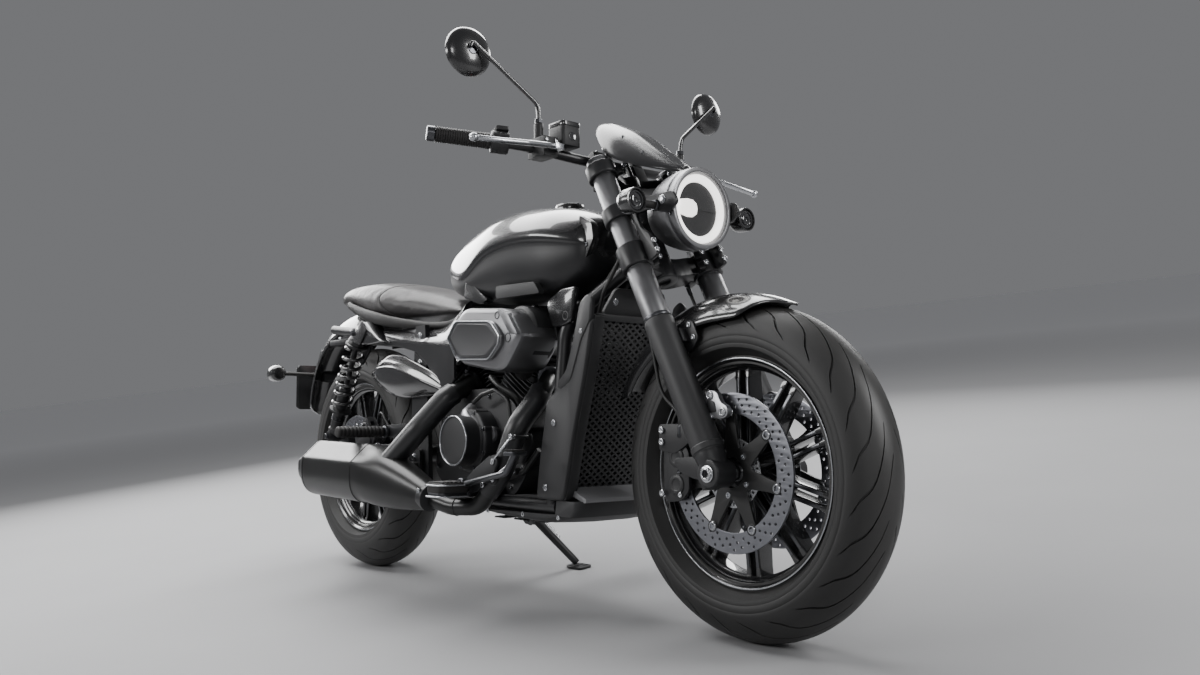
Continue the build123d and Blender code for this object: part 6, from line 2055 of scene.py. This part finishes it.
# %% Frame details
details = Clay()
for side in SIDES:
    plates = [[(268, 300), (276, 318), (302, 326), (320, 336), (372, 337), (366, 300), (358, 260),
               (318, 252), (288, 254)], [(190, 284), (221, 314), (250, 272), (232, 262)]]
    for outline in plates:
        ring = outline_at(crank_at, outline, side * 102, 7)
        details.join(dome(ring, (0, side, 0), 12, ((0, 1), (0.5, 1), (0.8, 0.97), (1, 0.86))))
    button = [(11, 0), (10.6, 2), (8, 2), (7.4, 0.6), (0, 0.6)]
    details.join(turned(crank_at(340, side * 112.5, 274), (0, side, 0), button, 28), 1)
    details.join(screw(crank_at(218, side * 113, 286), (0, side, 0), 5, 3), 2)
    details.join(crank_plate([(161, -43), (189, 22), (236, 16), (244, -10), (205, -52)], side * 128,
                             side * 134, 8), 1)
    for x, z in ((196, 8), (204, 34), (172, -70), (166, -44)):
        details.join(turned(crank_at(x, side * 118, z), (0, side, 0), [(9, 0), (9, 15), (8, 17)], 18), 1)
        details.join(screw(crank_at(x, side * 134, z), (0, side, 0), 5.5, 4, kind="hexagon"), 2)
    cap = [(24, 0), (24, 3), (21, 5), (14, 5), (13, 8), (10, 10), (0, 10)]
    details.join(turned(PIVOT + LEFT * side * 139.3, (0, side, 0), cap, 40), 1)
    for x, z in ((-214, -120), (-228, 40), (-238, 200), (-238, 270)):
        details.join(screw(crank_at(x, side * 139.3, z), (0, side, 0), 6.5, 4, kind="hexagon"), 2)
piece("frame_covers", details, [gloss_black, satin_black, bright_screw], "chassis", bevel=0.8)

electrics = Clay()
LOOMS = (([(430, 30, 420), (380, 52, 340), (300, 60, 320), (120, 40, 330), (-100, 36, 326)], 6),
         ([(440, -34, 400), (400, -60, 330), (330, -64, 300), (240, -70, 262), (200, -62, 236)], 5),
         ([(500, -20, 470), (470, -60, 400), (420, -72, 320), (390, -60, 280)], 4.5))
for path, radius in LOOMS:
    electrics.join(crank_pipe(path, 40, radius, 12))
electrics.join(box(crank_at(290, -52, 222), crank_at(350, 52, 262)), 1)
electrics.join(crank_plate([(255, 226), (262, 262), (282, 258), (290, 224)], -96, -60, 4), 1)
horn = [(20, -20), (38, -16), (42, -8), (42, 6), (36, 12), (24, 14), (20, 8), (0, 6)]
electrics.join(turned(crank_at(392, 0, 330), FORWARD, horn, 40), 1)
piece("wiring_and_horn", electrics, [hose_rubber, dark_plastic], "chassis", bevel=1)

# %% Pegs and pedals
pegs, pillion, pedals = Clay(), Clay(), Clay()
for side in SIDES:
    pegs.join(crank_plate([(52, -127.5), (52, -104), (62, -98), (90, -98), (98, -106), (98, -127.5)],
                          side * 105.3, side * 214, 4))
    pegs.join(turned(crank_at(75, side * 214, -112), (0, side, 0), [(15, 0), (17, 3), (17, 10), (13, 14)],
                     28), 1)
    body = [(62, 224), (62, 292), (72, 300), (118, 300), (128, 290), (128, 224)]
    for low, high, shrink, finish in ((-124, -114, 3, 1), (-114, -92, 0, 2)):
        outline = [crank_at(x + (shrink if x < 95 else -shrink), side * y, low) for x, y in body]
        pegs.join(slab(softened(outline, 10), (0, 0, 1), high - low, finish))
    for groove in range(6):
        y = 231 + groove * 11
        pegs.join(box(crank_at(66, side * y, -92.5), crank_at(124, side * (y + 6), -89)), 2)
    pegs.join(bar(crank_at(66, side * 222, -119), crank_at(124, side * 222, -119), 6, 16, 1, 1))
    # The thin bright metal tubes along each peg's top and bottom edges (finish 3) are painted highlights,
    # standing in for the light that those edges catch.
    peg_highlight_line = [crank_at(x, side * y, -110) for x, y in ((60, 224), (60, 293), (71, 302), (119, 302),
                                                         (130, 291), (130, 224))]
    for low in (-122, -97):
        path = [point + Vector((0, 0, low + 110)) for point in softened(peg_highlight_line, 10)]
        pegs.join(tube(path, 2.2, 8), 3)
    hinge = [(-290, 0), (-250, 40), (-300, 42), (-396, 38), (-402, 24), (-398, 8)]
    pillion.join(crank_plate(hinge, side * 139.3, side * 151, 8))
    pillion.join(turned(crank_at(-387, side * 151, 21), (0, side, 0), [(16, 0), (16, 10), (12, 13)], 24), 1)
    ribs = [(11, 14)]
    for rib in range(11):
        at = 16 + rib * 11
        ribs += [(13.4, at), (15, at + 2), (15, at + 7), (13.4, at + 9)]
    pillion.join(turned(crank_at(-387, side * 151, 21), (0, side, 0), ribs + [(15, 142), (12, 147)], 28), 2)
    pedal_bar = ((112, 232, -97), (290, 238, -66), (326, 240, -24))
    start, knee, top = (crank_at(x, side * y, z) for x, y, z in pedal_bar)
    pedals.join(pipe([start, knee, top], 24, 6.8, 18, 8))
    pedals.join(turned(start - LEFT * side * 12, LEFT * side, [(14, 0), (15, 2), (15, 18), (12, 20)], 24))
    pad = softened([top + Vector((x, side * y, -4)) for x, y in ((-14, -22), (16, -22), (20, 22),
                                                                 (-14, 22))], 6)
    pedals.join(slab(pad, (0.2, 0, 1), 8))
    for rib in range(4):
        x = rib * 7 - 11
        pedals.join(box(top + Vector((x, side * -18, 3)), top + Vector((x + 3, side * 18, 9))), 1)
piece("rider_pegs_rubbered", pegs, [frame_black, dark_metal, rubber, machined_and_highlights], "chassis", ["rider_pegs"],
      bevel=1.5, segments=3)
piece("passenger_pegs_ribbed", pillion, [frame_black, dark_metal, rubber], "chassis",
      ["passenger_pegs"], bevel=0.8)
link = [(80, -112), (92, -88), (124, -66), (186, -34), (214, -28), (222, -44), (206, -70), (220, -84),
        (208, -98), (176, -92), (140, -112), (96, -122)]
linkage = crank_plate(link, -206, -213, 5)
for x, z, size in ((205, -45, 6.5), (206, -84, 5.5), (165, -97, 6.5), (120, -96, 5)):
    nut = [(2.6, 0), (size, 0), (size, 3), (size - 1, 4), (2.6, 4), (2.6, 1)]
    linkage.join(turned(crank_at(x, -213, z), -LEFT, nut, 24, loop=True), 1)
linkage.join(bar(crank_at(205, -216, -45), crank_at(262, -204, 10), 2.6, 12), 1)
linkage.join(bar(crank_at(206, -217, -84), crank_at(262, -210, -50), 3.4, 12), 1)
linkage.join(turned(crank_at(262, -204, 10), -LEFT, [(2.4, -6), (7, -6), (7, 4), (2.4, 4)], 20,
                    loop=True), 1)
linkage.join(bar(crank_at(262, -196, 10), crank_at(262, -160, 10), 4, 14))
piece("brake_linkage", linkage, [frame_black, bright_screw], "chassis", bevel=0.8)
piece("foot_pedals_ribbed", pedals, [dark_metal, rubber], "chassis", ["foot_pedals"], bevel=0.8)

# %% Side stand
STAND_PIVOT = crank_at(-122, 131, -201)
STAND_TILT, STAND_TURN, FLOOR_DROP = math.radians(41), math.radians(73), 0.72
STAND_AXIS = Vector((0, math.cos(STAND_TILT), math.sin(STAND_TILT)))
STAND_LEG = Matrix.Rotation(STAND_TURN, 3, STAND_AXIS) @ Vector((1, 0, 0))
FLOOR_UP = Vector((0, -math.sin(LEAN), math.cos(LEAN)))
foot = STAND_PIVOT - STAND_LEG * ((STAND_PIVOT.dot(FLOOR_UP) + FLOOR_DROP - 11.5) / STAND_LEG.dot(FLOOR_UP))
stand_long = (foot - STAND_PIVOT).length

stand = turned(STAND_PIVOT, STAND_AXIS, [(8.15, -12), (19, -12), (20, -11), (20, 11), (19, 12), (8.15, 12)],
               40, loop=True)
legs = []
for share, wide, thick in ((0.0, 13, 10), (0.12, 12.5, 10.5), (0.3, 11.2, 10.8), (0.6, 10.4, 10.4),
                           (0.9, 10, 10), (1.0, 9.4, 9.4)):
    middle = STAND_PIVOT + STAND_LEG * (18 + (stand_long - 20) * share)
    across = STAND_LEG.cross(STAND_AXIS)
    legs.append([middle + across * wide * math.cos(turn) + STAND_AXIS * thick * math.sin(turn)
                 for turn in turns_of(24)])
stand.join(Clay().rings(legs))
sole = foot - FLOOR_UP * (foot.dot(FLOOR_UP) + FLOOR_DROP)
side_way = FLOOR_UP.cross((1, 0, 0)).normalized()
outline = [sole + Vector((4 + x, 0, 0)) + side_way * y + FLOOR_UP * 0.3
           for x, y in ((-36, -14), (-20, -21), (30, -21), (36, -10), (36, 12), (28, 21),
                        (-22, 21), (-36, 12))]
stand.join(slab(softened(outline, 9), FLOOR_UP, 5.4))
for x in (-14, 4, 22):
    tread = [sole + Vector((x + a, 0, 0)) + side_way * b + FLOOR_UP * 5.5
             for a, b in ((-3, -15), (3, -15), (3, 15), (-3, 15))]
    stand.join(slab(tread, FLOOR_UP, 1.4))
hook = STAND_PIVOT + STAND_LEG * 96 + STAND_AXIS * 8
stand.join(bar(hook - STAND_AXIS * 6, hook + STAND_AXIS * 9, 3.4, 14, 1, 0.8))
anchor = STAND_PIVOT + STAND_LEG * 22 + STAND_AXIS * 15.4
COILS, COIL_STEPS = 14, 12
wire = []
for step in range(COILS * COIL_STEPS + 1):
    share, turn = step / (COILS * COIL_STEPS), 2 * math.pi * step / COIL_STEPS
    middle = anchor.lerp(hook + STAND_AXIS * 6, 0.12 + share * 0.76)
    wire.append(middle + (STAND_LEG.cross(STAND_AXIS) * math.cos(turn) + STAND_AXIS * math.sin(turn)) * 5.2)
stand.join(tube(wire, 1.1, 6), 1)
for end, other in ((anchor, hook), (hook + STAND_AXIS * 6, anchor)):
    stand.join(bar(end, end.lerp(other, 0.13), 1.3, 8), 1)
piece("side_stand_forged", stand, [frame_black, bright_screw], "side_stand", ["side_stand"], bevel=0.8)
print("stand", round(stand_long), "mm long, triangles", triangles["side_stand_forged"])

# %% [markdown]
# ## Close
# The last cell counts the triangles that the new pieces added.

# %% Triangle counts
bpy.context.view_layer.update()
print("triangles added:", sum(triangles.values()), "most:",
      sorted(triangles.items(), key=lambda item: -item[1])[:4])
